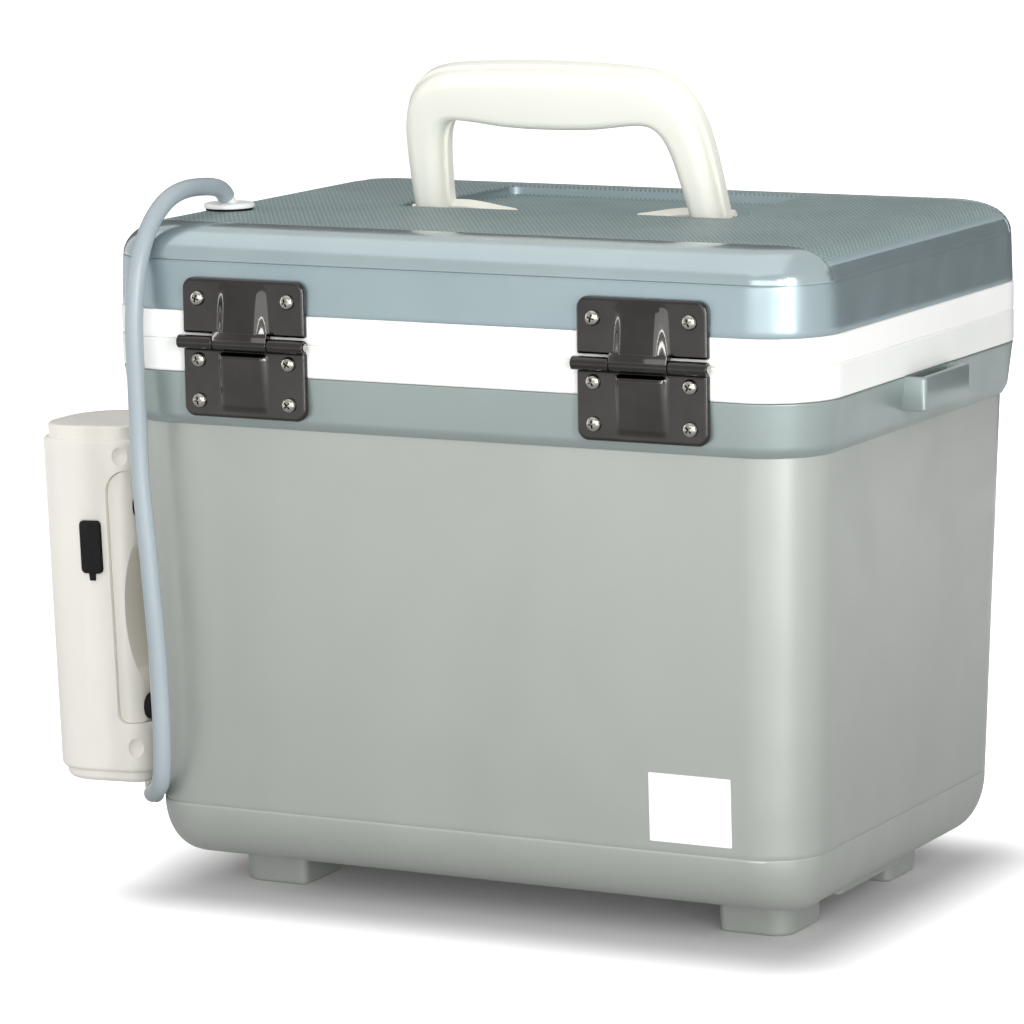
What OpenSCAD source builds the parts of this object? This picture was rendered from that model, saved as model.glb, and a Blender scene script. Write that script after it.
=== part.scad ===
// Aerated bait bucket: insulated live-bait box with a hinged lid, a folding carry handle,
// two snap latches and a battery air pump hung on its left side wall.
// Millimetres. +X is right as seen from the hinge side, -Y is the hinge side, +Z is up.
// The origin lies on the floor, under the middle of the box.

/* [Box] */
// Width of the rim, left to right
rim_w = 300; // [292:1:306]
// Depth of the rim, hinge side to latch side
rim_d = 215; // [208:1:220]
// Plan radius of the rim's corners
rim_r = 27; // [24:1:30]
// Height of the feet
foot_h = 15; // [13:1:16]
// Height of the closed lid's top above the floor
lid_top = 264; // [262:1:266]
// Height of the seam between lid and box
seam_z = 221.5; // [220.5:0.5:222]

/* [Hinges] */
// Distance from the middle of the box to the middle of each hinge
hinge_x = 83.5; // [76:0.5:90]
// Width of a hinge leaf
leaf_w = 53; // [48:1:56]
// Radius of the hinge pins
pin_r = 1.5; // [1.3:0.1:1.7]

/* [Handle] */
// Length of the handle from its pivot to its top
handle_len = 65.8; // [64:0.2:67]
// Lean of the standing handle past upright, towards the hinges
handle_lean = 20; // [16:1:21]

/* [Latches] */
// Distance from the middle of the box to the middle of each latch
latch_x = 72; // [60:1:84]
// Width of a latch
latch_w = 42; // [36:1:46]

/* [Air pump] */
// Height of the pump with its end caps
pump_h = 146; // [144:1:150]
// Width of the pump along the wall
pump_w = 54; // [50:1:56]
// Lean of the pump, which hangs parallel to the drafted wall
pump_lean = 2; // [1.5:0.5:2.5]
// Outer diameter of the air hose
hose_d = 7; // [6:0.5:7]

/* [Hidden] */
$fn = 48;

corner_steps = 8;       // straight steps round each corner of a large shell
small_steps = 4;        // the same, on small pressed or moulded pieces
gap = 0.2;              // air gap between nested shells
wall = 2.5;             // wall of the moulded shells

// The pieces are drawn over feet of this height, then raised by the rest of foot_h
datum_h = 9;
lift = foot_h - datum_h;
cover_top = lid_top - lift;
seam = seam_z - lift;

// Heights of the box as drawn
body_bottom = datum_h;
bottom_round = 22;      // height and front-to-back depth of the rounding under the body
side_round = 12;        // width of the same rounding on the left and right
parting_z = body_bottom + bottom_round;
shell_top = 200;
collar_z0 = 182.5;
trim_z0 = 203;          // underside of the box's white trim
trim_z1 = 226.5;        // top of the lid's white trim
groove_z = 245.5;       // groove line round the lid
tub_floor = 24;

// How far each wall stands in from the rim, at each height
draft = 0.0342;
shell_inset_top = 4.05;
function shell_inset(z) = shell_inset_top + (shell_top - z) * draft;
function concentric_r(inset) = rim_r - 0.5 * inset;

// Latch, hinge and pivot axes
pin_y = -(rim_d / 2 + 3.5);
pin_z = seam - 0.3;
knuckle_r = 2.6;
knuckle_run = 0.05;     // radial running clearance in a turning knuckle
leaf_t = 2.2;           // depth of a pressed leaf, rim to face
hasp_pin_z = 229;
pivot_y = 5.5;
pivot_z = 255.3;

// Pump, in its own leaning frame: u across the wall gap, v along the wall, w up
pump_at = [-198.5, -10, 21];
pump_out = -27.5;       // u of the face that looks away from the box
pump_in = 22;           // u of the face that looks at the box
pump_cap_inset = 2.2;
pump_band_z = 4.5;      // height of the bottom cap
pump_top_cap_h = 5.5;

module raised() { translate([0, 0, lift]) children(); }

// ---------------------------------------------------------------- outlines and skins

// An arc of points about [cx, cy], a quarter turn from angle a0
function quarter(cx, cy, r, a0, steps) =
    [for (k = [0 : steps]) [cx + r * cos(a0 + 90 * k / steps), cy + r * sin(a0 + 90 * k / steps)]];

// A rectangle with four rounded corners, counter-clockwise from the +X +Y corner
function rect_outline(x0, x1, y0, y1, r, steps) = concat(
    quarter(x1 - r[0], y1 - r[0], r[0], 0, steps),
    quarter(x0 + r[1], y1 - r[1], r[1], 90, steps),
    quarter(x0 + r[2], y0 + r[2], r[2], 180, steps),
    quarter(x1 - r[3], y0 + r[3], r[3], 270, steps));

// A ring of the box: [inset in x, inset in y, height, corner radius]
function box_ring(s) = let (hx = rim_w / 2 - s[0], hy = rim_d / 2 - s[1])
    [for (p = rect_outline(-hx, hx, -hy, hy, [s[3], s[3], s[3], s[3]], corner_steps)) [p[0], p[1], s[2]]];

function even_ring(inset, z) = [inset, inset, z, concentric_r(inset)];

// A skin over rings of points; a closed skin joins its last ring to its first
module skin(rings, closed = false) {
    n = len(rings[0]);
    last = closed ? len(rings) - 1 : len(rings) - 2;
    side = [for (j = [0 : last]) for (i = [0 : n - 1])
        let (a = j * n, b = ((j + 1) % len(rings)) * n, k = (i + 1) % n)
        each [[a + i, b + i, b + k], [a + i, b + k, a + k]]];
    caps = closed ? [] : [[for (i = [0 : n - 1]) i],
                          [for (i = [0 : n - 1]) len(rings) * n - 1 - i]];
    polyhedron(points = [for (r = rings) each r], faces = concat(side, caps));
}

module box_skin(sections, closed = false) {
    skin([for (s = sections) box_ring(s)], closed);
}

// A dished plate in the XY plane, its face up: rings of [inset, height]
module pressed_plate(x0, x1, y0, y1, r, depth, sheet) {
    profile = [[sheet, depth - sheet], [sheet, 0], [0, 0], [0, depth - 0.9], [0.35, depth - 0.25],
               [1, depth]];
    skin([for (s = profile)
        [for (p = rect_outline(x0 + s[0], x1 - s[0], y0 + s[0], y1 - s[0],
                               [for (q = r) max(q - s[0], 0.3)], small_steps)) [p[0], p[1], s[1]]]]);
}

// Places a piece drawn in the XY plane on the hinge-side wall, its face towards -Y
module on_hinge_wall(x = 0) { translate([x, -rim_d / 2, 0]) rotate([90, 0, 0]) children(); }
module on_latch_wall(x = 0) { mirror([0, 1, 0]) on_hinge_wall(x) children(); }

module rod_x(r, x0, x1) { translate([x0, 0, 0]) rotate([0, 90, 0]) cylinder(r = r, h = x1 - x0); }

module on_pump() { translate(pump_at) rotate([0, -pump_lean, 0]) children(); }

// ---------------------------------------------------------------- the box

module outer_shell() {
    color("#a3aca6") raised() union() {
        box_skin(concat(
            [for (a = [90 : -15 : 0]) bottom_ring(0, a)],
            [even_ring(shell_inset(shell_top), shell_top),
             even_ring(shell_inset(shell_top) + wall, shell_top),
             even_ring(shell_inset(parting_z) + wall, parting_z + 1)],
            [for (a = [30 : 30 : 90]) bottom_ring(wall, a)]));
        for (sx = [-1, 1]) for (sy = [-1, 1]) foot(sx, sy);
        stiffening_rib();
    }
}

// A ring of the rounding under the body, a degrees below the parting line, a wall's depth in
function bottom_ring(depth, a) =
    let (r = bottom_round - depth, side = shell_inset(parting_z) + depth, turn = 1 - cos(a))
    [side + (side_round - depth) * turn, side + r * turn, parting_z - r * sin(a),
     concentric_r(side) - (side_round - depth) * 1.25 * turn];

// A drafted foot with rounded corners
module foot(sx, sy) {
    foot_x = [88.8, 119];
    foot_y = sy > 0 ? [34.5, 67] : [29.5, 62];
    foot_draft = 0.6;
    r = [for (c = [[1, 1], [-1, 1], [-1, -1], [1, -1]]) c == [sx, sy] ? 9 : 4];
    top = body_bottom + 1.2;
    x0 = sx > 0 ? foot_x[0] : -foot_x[1];
    x1 = sx > 0 ? foot_x[1] : -foot_x[0];
    y0 = sy > 0 ? foot_y[0] : -foot_y[1];
    y1 = sy > 0 ? foot_y[1] : -foot_y[0];
    rings = [[foot_draft + 0.8, -lift], [foot_draft, 0.8 - lift], [0, top]];
    skin([for (s = rings)
        [for (p = rect_outline(x0 + s[0], x1 - s[0], y0 + s[0], y1 - s[0], r, small_steps))
            [p[0], p[1], s[1]]]]);
}

// The low ridges under the body's left and right edges, between the feet
module stiffening_rib() {
    rib_h = 4.5;
    for (s = [-1, 1]) translate([s * 124 - 2.5, -31, body_bottom - rib_h]) cube([5, 58, rib_h + 1]);
}

module rim_collar() {
    skin_gap = 0.05;
    foot_in = shell_inset(collar_z0) - skin_gap;
    head_in = shell_inset(shell_top) - skin_gap;
    color("#8d9c9e") raised() union() {
        box_skin([
            [foot_in, foot_in, collar_z0, concentric_r(4.6)],
            [4.0, 3.6, collar_z0, concentric_r(4)],
            [2.4, 1.7, collar_z0 + 3, concentric_r(2.2)],
            [0.5, 0.4, trim_z0 - 2.5, rim_r],
            [0.2, 0.2, trim_z0 - 0.4, rim_r],
            [0.6, 0.6, trim_z0, rim_r],
            [shell_inset_top - 0.6, shell_inset_top - 0.6, trim_z0, concentric_r(3.5)],
            [head_in, head_in, shell_top, concentric_r(4)]
        ], closed = true);
        for (s = [-1, 1]) strap_loop(s);
    }
}

// A moulded loop on the side of the collar; its slot runs from top to bottom
module strap_loop(side) {
    loop_out = 8;
    loop_half = 22;
    loop_z0 = 190;
    bar = 3;
    mirror([side < 0 ? 1 : 0, 0, 0]) translate([rim_w / 2, 0, 0]) difference() {
        rotate([90, 0, 90]) translate([0, 0, -2.2]) linear_extrude(loop_out + 2.2)
            polygon(rect_outline(-loop_half, loop_half, loop_z0, trim_z0 - 0.1, [0.5, 0.5, 2, 2],
                                 small_steps));
        translate([0.2, -loop_half + bar, loop_z0 - 5])
            cube([loop_out - bar - 0.2, 2 * (loop_half - bar), 30]);
        for (t = [-1, 1]) translate([loop_out, t * loop_half, 0]) rotate([0, 0, 45])
            cube([1.8, 1.8, 500], center = true);
    }
}

module inner_tub() {
    mouth = 18;
    floor_inset = 26;
    color("#f4f4f0") raised() box_skin([
        even_ring(floor_inset + 8, tub_floor - wall),
        even_ring(floor_inset + 1, tub_floor - 0.5),
        even_ring(floor_inset - wall, tub_floor + 6),
        even_ring(mouth - wall + 0.4, trim_z0 - 3),
        even_ring(shell_inset_top + wall + 1, trim_z0 + 0.02),
        [0.5, 0.5, trim_z0 + 0.02, rim_r],
        [0, 0, trim_z0 + 0.6, rim_r],
        [0, 0, seam - 0.6, rim_r],
        [0.5, 0.5, seam, rim_r],
        even_ring(mouth - 0.8, seam),
        even_ring(mouth, seam - 1),
        even_ring(floor_inset - 0.2, tub_floor + 8),
        even_ring(floor_inset + 2, tub_floor + 2),
        even_ring(floor_inset + 8, tub_floor)
    ]);
}

module box_foam() {
    lining = wall + gap;
    tub_mouth = 18.4;
    color("#e8d9a0") raised() box_skin(concat(
        [for (a = [90 : -30 : 30]) bottom_ring(lining, a)],
        [even_ring(shell_inset(parting_z) + lining, parting_z + 1),
         even_ring(shell_inset(shell_top) + lining, trim_z0 - 3.5),
         even_ring(tub_mouth - lining - 0.2, trim_z0 - 3.5),
         even_ring(26 - lining, tub_floor + 6),
         even_ring(25.8, tub_floor - 1.6),
         even_ring(33, tub_floor - lining - 0.6)]));
}

// ---------------------------------------------------------------- the lid

pocket_depth = 4.5;     // shallow recess in the lid's top that the folded handle lies in
pocket_near = [-8, 69.5];
pocket_far = [77, 65];  // each is [y, half width]
well_y = [-9.5, 15.5];  // the two deeper wells that hold the handle's eyes
well_x = [45.5, 72];
well_z = 249.5;

module lid_cover() {
    rim = 0.3;
    color("#8796a0") raised() difference() {
        union() {
            box_skin(concat(
                [[18, 22, cover_top - wall, 13], [8, 10, cover_top - 6, 18], [4, 4.5, groove_z, 23],
                 [2.8, 2.8, trim_z1, 25], [rim, rim, trim_z1, rim_r],
                 [1.0, 1.0, groove_z, rim_r - 1], [1.1, 2.4, groove_z + 0.1, rim_r - 2]],
                [for (a = [20 : 14 : 90]) [1.1 + 15 * (1 - cos(a)), 2.4 + 20 * (1 - cos(a)),
                    groove_z + 12 * sin(a), rim_r - 2 - 12 * (1 - cos(a))]],
                [[17.4, 23.4, cover_top, 12]]));
            pocket_solid(2.6, cover_top - pocket_depth - wall, cover_top - 1.2);
            for (s = [-1, 1]) well_solid(s);
        }
        pocket_solid(0, cover_top - pocket_depth, cover_top + 5);
        for (s = [-1, 1]) well_cut(s);
        translate([-127, -44, cover_top - 12]) cylinder(r = 6.5, h = 20);
    }
}

module pocket_solid(grow, z0, z1) {
    r = 5 + grow;
    near = pocket_near + [-grow, grow];
    far = pocket_far + [grow, grow];
    slope = atan2(near[1] - far[1], far[0] - near[0]);
    corner = concat(
        [for (a = [0 : 15 : 90 - slope])
            [far[1] - r + r * cos(a + slope), far[0] - r + r * sin(a + slope)]]);
    right = concat([[near[1], near[0]]], corner);
    translate([0, 0, z0]) linear_extrude(z1 - z0)
        polygon(concat(right, [for (i = [len(right) - 1 : -1 : 0]) [-right[i][0], right[i][1]]]));
}

module well_solid(side) {
    x0 = side > 0 ? well_x[0] : -well_x[1];
    translate([x0 - wall, well_y[0] - wall, well_z - wall])
        cube([well_x[1] - well_x[0] + 2 * wall, well_y[1] - well_y[0] + 2 * wall,
              cover_top - 1.2 - well_z + wall]);
    // boss that carries the outer end of the pivot pin
    translate([side * (well_x[1] + 3.5), pivot_y, pivot_z - 1.7]) cube([7, 11, 7.6], center = true);
}

module well_cut(side) {
    x0 = side > 0 ? well_x[0] : -well_x[1];
    translate([x0, well_y[0], well_z]) cube([well_x[1] - well_x[0], well_y[1] - well_y[0], 20]);
    translate([0, pivot_y, pivot_z]) rod_x(2, side > 0 ? well_x[1] - 1 : -well_x[1] - 5,
                                           side > 0 ? well_x[1] + 5 : -well_x[1] + 1);
}

module lid_liner() {
    plug = 19.5;
    plug_z = 209.5;
    color("#f6f6f2") raised() difference() {
        box_skin([
            even_ring(plug + 2, plug_z), even_ring(plug, plug_z + 2),
            even_ring(plug, seam + 0.02), even_ring(13, seam + 0.02),
            even_ring(13, seam + 1.8), even_ring(8, seam + 1.8), even_ring(8, seam + 0.02),
            [0.5, 0.5, seam + 0.02, rim_r], [0, 0, seam + 0.6, rim_r],
            [0, 0, trim_z1 - 0.6, rim_r], [0.5, 0.5, trim_z1 - 0.02, rim_r],
            even_ring(3, trim_z1 - 0.02), even_ring(3, seam + 4.3),
            even_ring(22, seam + 4.3), even_ring(22, plug_z + wall)
        ]);
        translate([-127, -44, 200]) cylinder(r = 4.5, h = 30);
    }
}

module lid_foam() {
    color("#e8d9a0") raised() difference() {
        box_skin([
            even_ring(22.3, 212.2), even_ring(22.3, 220.1), even_ring(3.4, 220.1),
            even_ring(3.4, trim_z1), even_ring(5.2, 240), even_ring(14, 246.3)
        ]);
        translate([-127, -44, 200]) cylinder(r = 7.5, h = 60);
    }
}

module lid_gasket() {
    color("#dfe3e2") raised() box_skin([
        even_ring(8.2, seam + 0.05), even_ring(8.2, seam + 1.7),
        even_ring(12.8, seam + 1.7), even_ring(12.8, seam + 0.05)
    ], closed = true);
}

// ---------------------------------------------------------------- hinges

knuckle_half = 11.7;            // half width of the lid leaf's middle knuckle
screw_off = 19.5;
upper_screw_z = [231.8];
lower_screw_z = [208.3, 192.8];
upper_leaf_z = [218.3, 239.6];
lower_leaf_z = [186.5, 212.7];

module knuckle(x0, x1, bore) {
    translate([0, pin_z, -pin_y - rim_d / 2]) difference() {
        rod_x(knuckle_r, x0, x1);
        rod_x(bore, x0 - 1, x1 + 1);
    }
}

module screw_holes(heights) {
    for (s = [-1, 1]) for (z = heights) translate([s * screw_off, z, -1]) cylinder(r = 1.75, h = 8);
}

// A pressed swelling: four round corners, wide and high at one end, flat at the other
module swelling(z0, half0, high0, z1, half1, high1) {
    round_r = 1.2;
    hull() {
        for (s = [-1, 1]) translate([s * (half0 - round_r), z0, high0 - round_r]) sphere(round_r, $fn = 16);
        for (s = [-1, 1]) translate([s * (half1 - round_r), z1, high1 - round_r]) sphere(round_r, $fn = 16);
        translate([0, z0, 1.6]) cube([2 * half0 + 2, 0.2, 0.2], center = true);
        translate([0, z1, 1.6]) cube([2 * half1 + 2, 0.2, 0.2], center = true);
    }
}

module upper_leaf(x) {
    color("#4a4744") raised() on_hinge_wall(x) {
        difference() {
            union() {
                pressed_plate(-leaf_w / 2, leaf_w / 2, upper_leaf_z[0], upper_leaf_z[1],
                              [4.5, 4.5, 1, 1], leaf_t, 1.2);
                swelling(236, 8.5, 2.9, pin_z + 2.2, knuckle_half, 5.4);
                translate([-knuckle_half, pin_z + 0.5, 0.9]) cube([2 * knuckle_half, 4, 4]);
            }
            screw_holes(upper_screw_z);
            translate([0, pin_z, -pin_y - rim_d / 2]) rod_x(knuckle_r - 0.5, -30, 30);
            for (s = [-1, 1]) translate([s * (knuckle_half + 10.2), pin_z, 3.5])
                cube([20, 5.9, 7], center = true);
        }
        knuckle(-knuckle_half, knuckle_half, pin_r + knuckle_run);
    }
}

module lower_leaf(x) {
    color("#4a4744") raised() on_hinge_wall(x) {
        difference() {
            union() {
                pressed_plate(-leaf_w / 2, leaf_w / 2, lower_leaf_z[0], lower_leaf_z[1],
                              [1, 1, 4.5, 4.5], leaf_t, 1.2);
                swelling(190.5, 7.5, 2.5, 210.4, 9.5, 4.3);
                for (s = [-1, 1]) translate([s * (knuckle_half + 7.7), pin_z - 2, 2.1])
                    cube([14, 3, 2.4], center = true);
            }
            screw_holes(lower_screw_z);
            translate([0, pin_z, -pin_y - rim_d / 2]) rod_x(knuckle_r - 0.5, -30, 30);
        }
        for (s = [-1, 1]) knuckle(s > 0 ? knuckle_half + 0.3 : -leaf_w / 2 - 0.8,
                                  s > 0 ? leaf_w / 2 + 0.8 : -knuckle_half - 0.3, pin_r);
    }
}

module hinge_lower_leaf_left() { lower_leaf(-hinge_x); }
module hinge_lower_leaf_right() { lower_leaf(hinge_x); }
module hinge_upper_leaf_left() { upper_leaf(-hinge_x); }
module hinge_upper_leaf_right() { upper_leaf(hinge_x); }

module hinge_pins() {
    color("#c9c9c6") raised() for (s = [-1, 1]) translate([s * hinge_x, pin_y, pin_z])
        rod_x(pin_r, -leaf_w / 2 - 1.2, leaf_w / 2 + 1.2);
}

// A pan-head screw, head up, its shank below the seat
module pan_screw(shank = 9) {
    rotate_extrude() polygon([[0, 2], [1.3, 1.95], [2.3, 1.55], [2.9, 0.8], [2.9, 0], [1.6, 0],
                              [1.6, 1 - shank], [0, -shank]]);
}

module box_hinge_screws() {
    color("#d5d5d2") raised() for (h = [-1, 1]) on_hinge_wall(h * hinge_x)
        for (s = [-1, 1]) for (z = lower_screw_z) translate([s * screw_off, z, leaf_t]) pan_screw();
}

module lid_hinge_screws() {
    color("#d5d5d2") raised() for (h = [-1, 1]) on_hinge_wall(h * hinge_x)
        for (s = [-1, 1]) for (z = upper_screw_z) translate([s * screw_off, z, leaf_t]) pan_screw();
}

// ---------------------------------------------------------------- latches

hasp_half = latch_w / 2 - 9;    // half width of the hasp's knuckle between the base's knuckles
latch_screw_off = 14;
keeper_z = [191.5, 206.5];
latch_base_z = [232, 243.5];

module latch_base(x) {
    color("#4a4744") raised() on_latch_wall(x) {
        difference() {
            union() {
                pressed_plate(-latch_w / 2, latch_w / 2, latch_base_z[0], latch_base_z[1],
                              [4, 4, 1, 1], leaf_t, 1.2);
                for (s = [-1, 1]) translate([s * (hasp_half + 4.6), hasp_pin_z + 2.4, 2])
                    cube([8.6, 3.4, 2.4], center = true);
            }
            for (s = [-1, 1]) translate([s * latch_screw_off, 238.6, -1]) cylinder(r = 1.75, h = 8);
            translate([0, hasp_pin_z, 3.5]) rod_x(knuckle_r - 0.5, -30, 30);
        }
        for (s = [-1, 1]) translate([0, hasp_pin_z, 3.5]) difference() {
            rod_x(knuckle_r, s > 0 ? hasp_half + 0.3 : -latch_w / 2, s > 0 ? latch_w / 2 : -hasp_half - 0.3);
            rod_x(pin_r, -30, 30);
        }
    }
}

// The hasp: a bent plate drawn from the side, with its catch bead and finger lip
module latch_hasp(x) {
    hasp_profile = concat(
        [[4.6, hasp_pin_z - 1], [6.0, hasp_pin_z - 1.4], [5.4, 222], [4.4, 214], [4.2, 200]],
        [for (a = [0 : 15 : 75]) [4.2 + 7 * (1 - cos(a)), 194.5 - 7 * sin(a)]],
        [for (a = [75 : -15 : 0]) [2.9 + 8.3 * (1 - cos(a)), 194.5 - 8.3 * sin(a)]],
        [[2.4, 195.3], [2.3, 196.4], [2.9, 197.6], [2.9, 214], [3.4, 222]]);
    color("#4a4744") raised() on_latch_wall(x) {
        difference() {
            translate([-latch_w / 2 + 2, 0, 0]) rotate([90, 0, 90]) linear_extrude(latch_w - 4)
                polygon([for (p = hasp_profile) [p[1], p[0]]]);
            translate([0, hasp_pin_z, 3.5]) rod_x(knuckle_r - 0.5, -40, 40);
            for (s = [-1, 1]) translate([s * (hasp_half + 15), hasp_pin_z, 5])
                cube([30, 6.4, 12], center = true);
        }
        translate([0, hasp_pin_z, 3.5]) difference() {
            rod_x(knuckle_r, -hasp_half, hasp_half);
            rod_x(pin_r + knuckle_run, -hasp_half - 1, hasp_half + 1);
        }
    }
}

module latch_keeper(x) {
    color("#4a4744") raised() on_latch_wall(x) difference() {
        union() {
            pressed_plate(-latch_w / 2 + 4, latch_w / 2 - 4, keeper_z[0], keeper_z[1],
                          [3, 3, 3, 3], 1.4, 0.9);
            translate([0, 199, 1.1]) rod_x(0.8, -7.5, 7.5);
        }
        for (s = [-1, 1]) translate([s * (latch_screw_off - 2), 202.6, -1]) cylinder(r = 1.75, h = 8);
    }
}

module latch_base_left() { latch_base(-latch_x); }
module latch_base_right() { latch_base(latch_x); }
module latch_hasp_left() { latch_hasp(-latch_x); }
module latch_hasp_right() { latch_hasp(latch_x); }
module latch_keeper_left() { latch_keeper(-latch_x); }
module latch_keeper_right() { latch_keeper(latch_x); }

module latch_pins() {
    color("#c9c9c6") raised() for (s = [-1, 1]) on_latch_wall(s * latch_x)
        translate([0, hasp_pin_z, 3.5]) rod_x(pin_r, -latch_w / 2 - 0.4, latch_w / 2 + 0.4);
}

module latch_base_screws() {
    color("#d5d5d2") raised() for (h = [-1, 1]) on_latch_wall(h * latch_x)
        for (s = [-1, 1]) translate([s * latch_screw_off, 238.6, leaf_t]) pan_screw();
}

// Flat countersunk heads, so that the hasp closes over them
module latch_keeper_screws() {
    color("#d5d5d2") raised() for (h = [-1, 1]) on_latch_wall(h * latch_x)
        for (s = [-1, 1]) translate([s * (latch_screw_off - 2), 202.6, 0])
            rotate_extrude() polygon([[0, 2], [2.6, 1.9], [2.8, 1.4], [1.6, 1.4], [1.6, -7], [0, -8.5]]);
}

// ---------------------------------------------------------------- carry handle

handle_split = -4.5;            // depth of the seam between the two halves
handle_face = -12;              // depth of the front face, towards the hinges
handle_back = 1.5;              // depth of the back face

// Right half of the bail, from its foot to the middle: [outer x, outer height, inner x, inner height]
function bail_stations() = [
    [67.4, -1, 52.2, -1], [67, 8, 51.6, 8], [66.4, 21, 50.2, 19], [65.4, 33, 48.4, 30],
    [63.8, 42.5, 46.2, 37], [60.4, 51.5, 43.4, 40.6], [53.8, 59.2, 39.4, 41.8],
    [43, handle_len - 2.1, 32.4, 41.2], [23, handle_len - 0.5, 18, 39.2], [0, handle_len, 0, 38.6]];

// One section of a half: across from the outer to the inner edge, rounded towards its face
function bail_section(s, trim, seam, face, r) =
    let (o = [s[0], s[1]], i = [s[2], s[3]], across = (i - o) / norm(i - o), width = norm(i - o) - 2 * trim,
         dir = face < seam ? -1 : 1, deep = abs(face - seam))
    [for (p = concat([[0, 0]],
                     [for (a = [0 : 30 : 90]) [r * (1 - cos(a)), deep - r + r * sin(a)]],
                     [for (a = [90 : -30 : 0]) [width - r * (1 - cos(a)), deep - r + r * sin(a)]],
                     [[width, 0]]))
        let (q = o + across * (trim + p[0])) [q[0], seam + dir * p[1], q[1]]];

module bail_half(trim, seam, face, r) {
    half = bail_stations();
    n = len(half);
    stations = concat([for (s = half) s],
                      [for (k = [n - 2 : -1 : 0]) [-half[k][0], half[k][1], -half[k][2], half[k][3]]]);
    rings = [for (s = stations) bail_section(s, trim, seam, face, r)];
    skin(face > seam ? rings : [for (k = [len(rings) - 1 : -1 : 0]) rings[k]]);
}

module at_handle() { translate([0, pivot_y, pivot_z]) rotate([handle_lean, 0, 0]) children(); }

module handle_front_half() {
    color("#f1efe4") raised() at_handle() bail_half(1.4, handle_split, handle_face, 5.2);
}

module handle_rear_half() {
    eye_r = 4.4;
    color("#f1efe4") raised() at_handle() difference() {
        union() {
            bail_half(0, handle_split + 0.02, handle_back, 2);
            for (s = [-1, 1]) mirror([s < 0 ? 1 : 0, 0, 0]) {
                rod_x(eye_r, 52.2, 67.4);
                // low flare on the inner side of each foot
                rotate([90, 0, 0]) translate([0, 0, -handle_back]) linear_extrude(handle_back - handle_split)
                    polygon([[56, 0], [56, 4.4], [46, 4.4], [26, 1.4], [26, 0]]);
            }
        }
        rod_x(2 + knuckle_run, -80, -45);
        rod_x(2 + knuckle_run, 45, 80);
        for (s = [-1, 1]) translate([s * 60.5, -eye_r - 3.4, 0])
            cube([25, 7 + 2 * (handle_split + eye_r) - 0.02, 20], center = true);
    }
}

module handle_pivot_pins() {
    color("#c9c9c6") raised() for (s = [-1, 1]) translate([0, pivot_y, pivot_z])
        rod_x(2, s > 0 ? 53 : -well_x[1] - 4.5, s > 0 ? well_x[1] + 4.5 : -53);
}

// ---------------------------------------------------------------- air line

grommet_at = [-127, -44];
spigot_lean = 44;               // lean of the grommet's spigot, from upright towards the hinges

module hose_grommet() {
    color("#fbfbf8") raised() union() {
        translate([grommet_at[0], grommet_at[1], 0]) rotate_extrude()
            polygon([[0, cover_top + 0.9], [10, cover_top + 0.9], [10, cover_top + 1.8],
                     [9.2, cover_top + 2.5], [4.6, cover_top + 2.9], [0, cover_top + 2.9]]);
        translate([grommet_at[0], grommet_at[1], inner_route[0][2]]) cylinder(r = 3.4, h = 52);
        // leaning spigot that the outer hose is pushed onto
        translate([grommet_at[0], grommet_at[1], cover_top + 2.8]) rotate([spigot_lean, 0, 0])
            translate([0, 0, -1.5]) cylinder(r = 3.3, h = 4.6);
    }
}

module grommet_washer() {
    color("#1c1d1e") raised() translate([grommet_at[0], grommet_at[1], cover_top + 0.02]) difference() {
        cylinder(r = 9.2, h = 0.88);
        translate([0, 0, -1]) cylinder(r = 3.6, h = 4);
    }
}

// Route of the outer hose's centre line, from the grommet to the pump
hose_route = [
    [-127, -46.3, 263.3], [-127, -48, 265], [-127, -51.3, 266.8], [-127, -56.4, 268], [-127, -62.5, 268.7],
    [-127, -69.6, 269.1], [-127, -77, 269], [-127, -84.4, 268], [-127, -91.2, 265.9], [-127, -97.4, 262.6],
    [-127, -103.3, 258], [-127, -108.2, 252], [-127, -112.3, 244.4], [-127, -115.1, 235],
    [-127, -116.6, 225], [-127, -117, 215], [-127, -116.6, 204], [-127.2, -115.9, 192],
    [-127.3, -115.3, 180], [-127.2, -115, 164], [-126.2, -114.6, 148], [-125.2, -114.2, 134],
    [-124.3, -113.8, 119], [-123.3, -113, 100], [-122.9, -112, 80], [-123.3, -110.8, 62],
    [-124.8, -108.8, 49], [-128, -105, 41], [-134.2, -98, 36.2], [-142, -88, 32.4], [-149, -77, 29.2],
    [-156, -65, 26.2], [-163, -52.5, 23], [-169.5, -41.5, 19.9], [-176, -31, 17.2], [-182, -21.8, 15.2],
    [-186.6, -15, 14.4]];

function unit(v) = v / norm(v);
function route_dir(p, i) = i == 0 ? unit(p[1] - p[0]) :
    i == len(p) - 1 ? unit(p[i] - p[i - 1]) : unit(unit(p[i + 1] - p[i]) + unit(p[i] - p[i - 1]));
// Side directions carried along the route without twist
function carried(p, i = 0, side = [1, 0, 0]) = i == len(p) ? [] :
    let (d = route_dir(p, i), s = unit(side - d * (side * d))) concat([s], carried(p, i + 1, s));

module swept_tube(route, d, sides) {
    across = carried(route);
    skin([for (i = [0 : len(route) - 1]) let (s = across[i], t = cross(route_dir(route, i), s))
        [for (k = [0 : sides - 1]) let (a = 360 * k / sides)
            route[i] + d / 2 * (s * cos(a) + t * sin(a))]]);
}

module air_hose() { color("#cfdfe6") raised() swept_tube(hose_route, hose_d, 12); }

inner_route = [[-127, -44, 207], [-127, -44, 196], [-126, -44, 182], [-123, -44, 165], [-119.6, -44, 148],
               [-117, -44, 130], [-115.4, -44, 114], [-114.6, -44, 98], [-114.2, -44, 84], [-114, -44, 73],
               [-114, -44, 65]];

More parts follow.
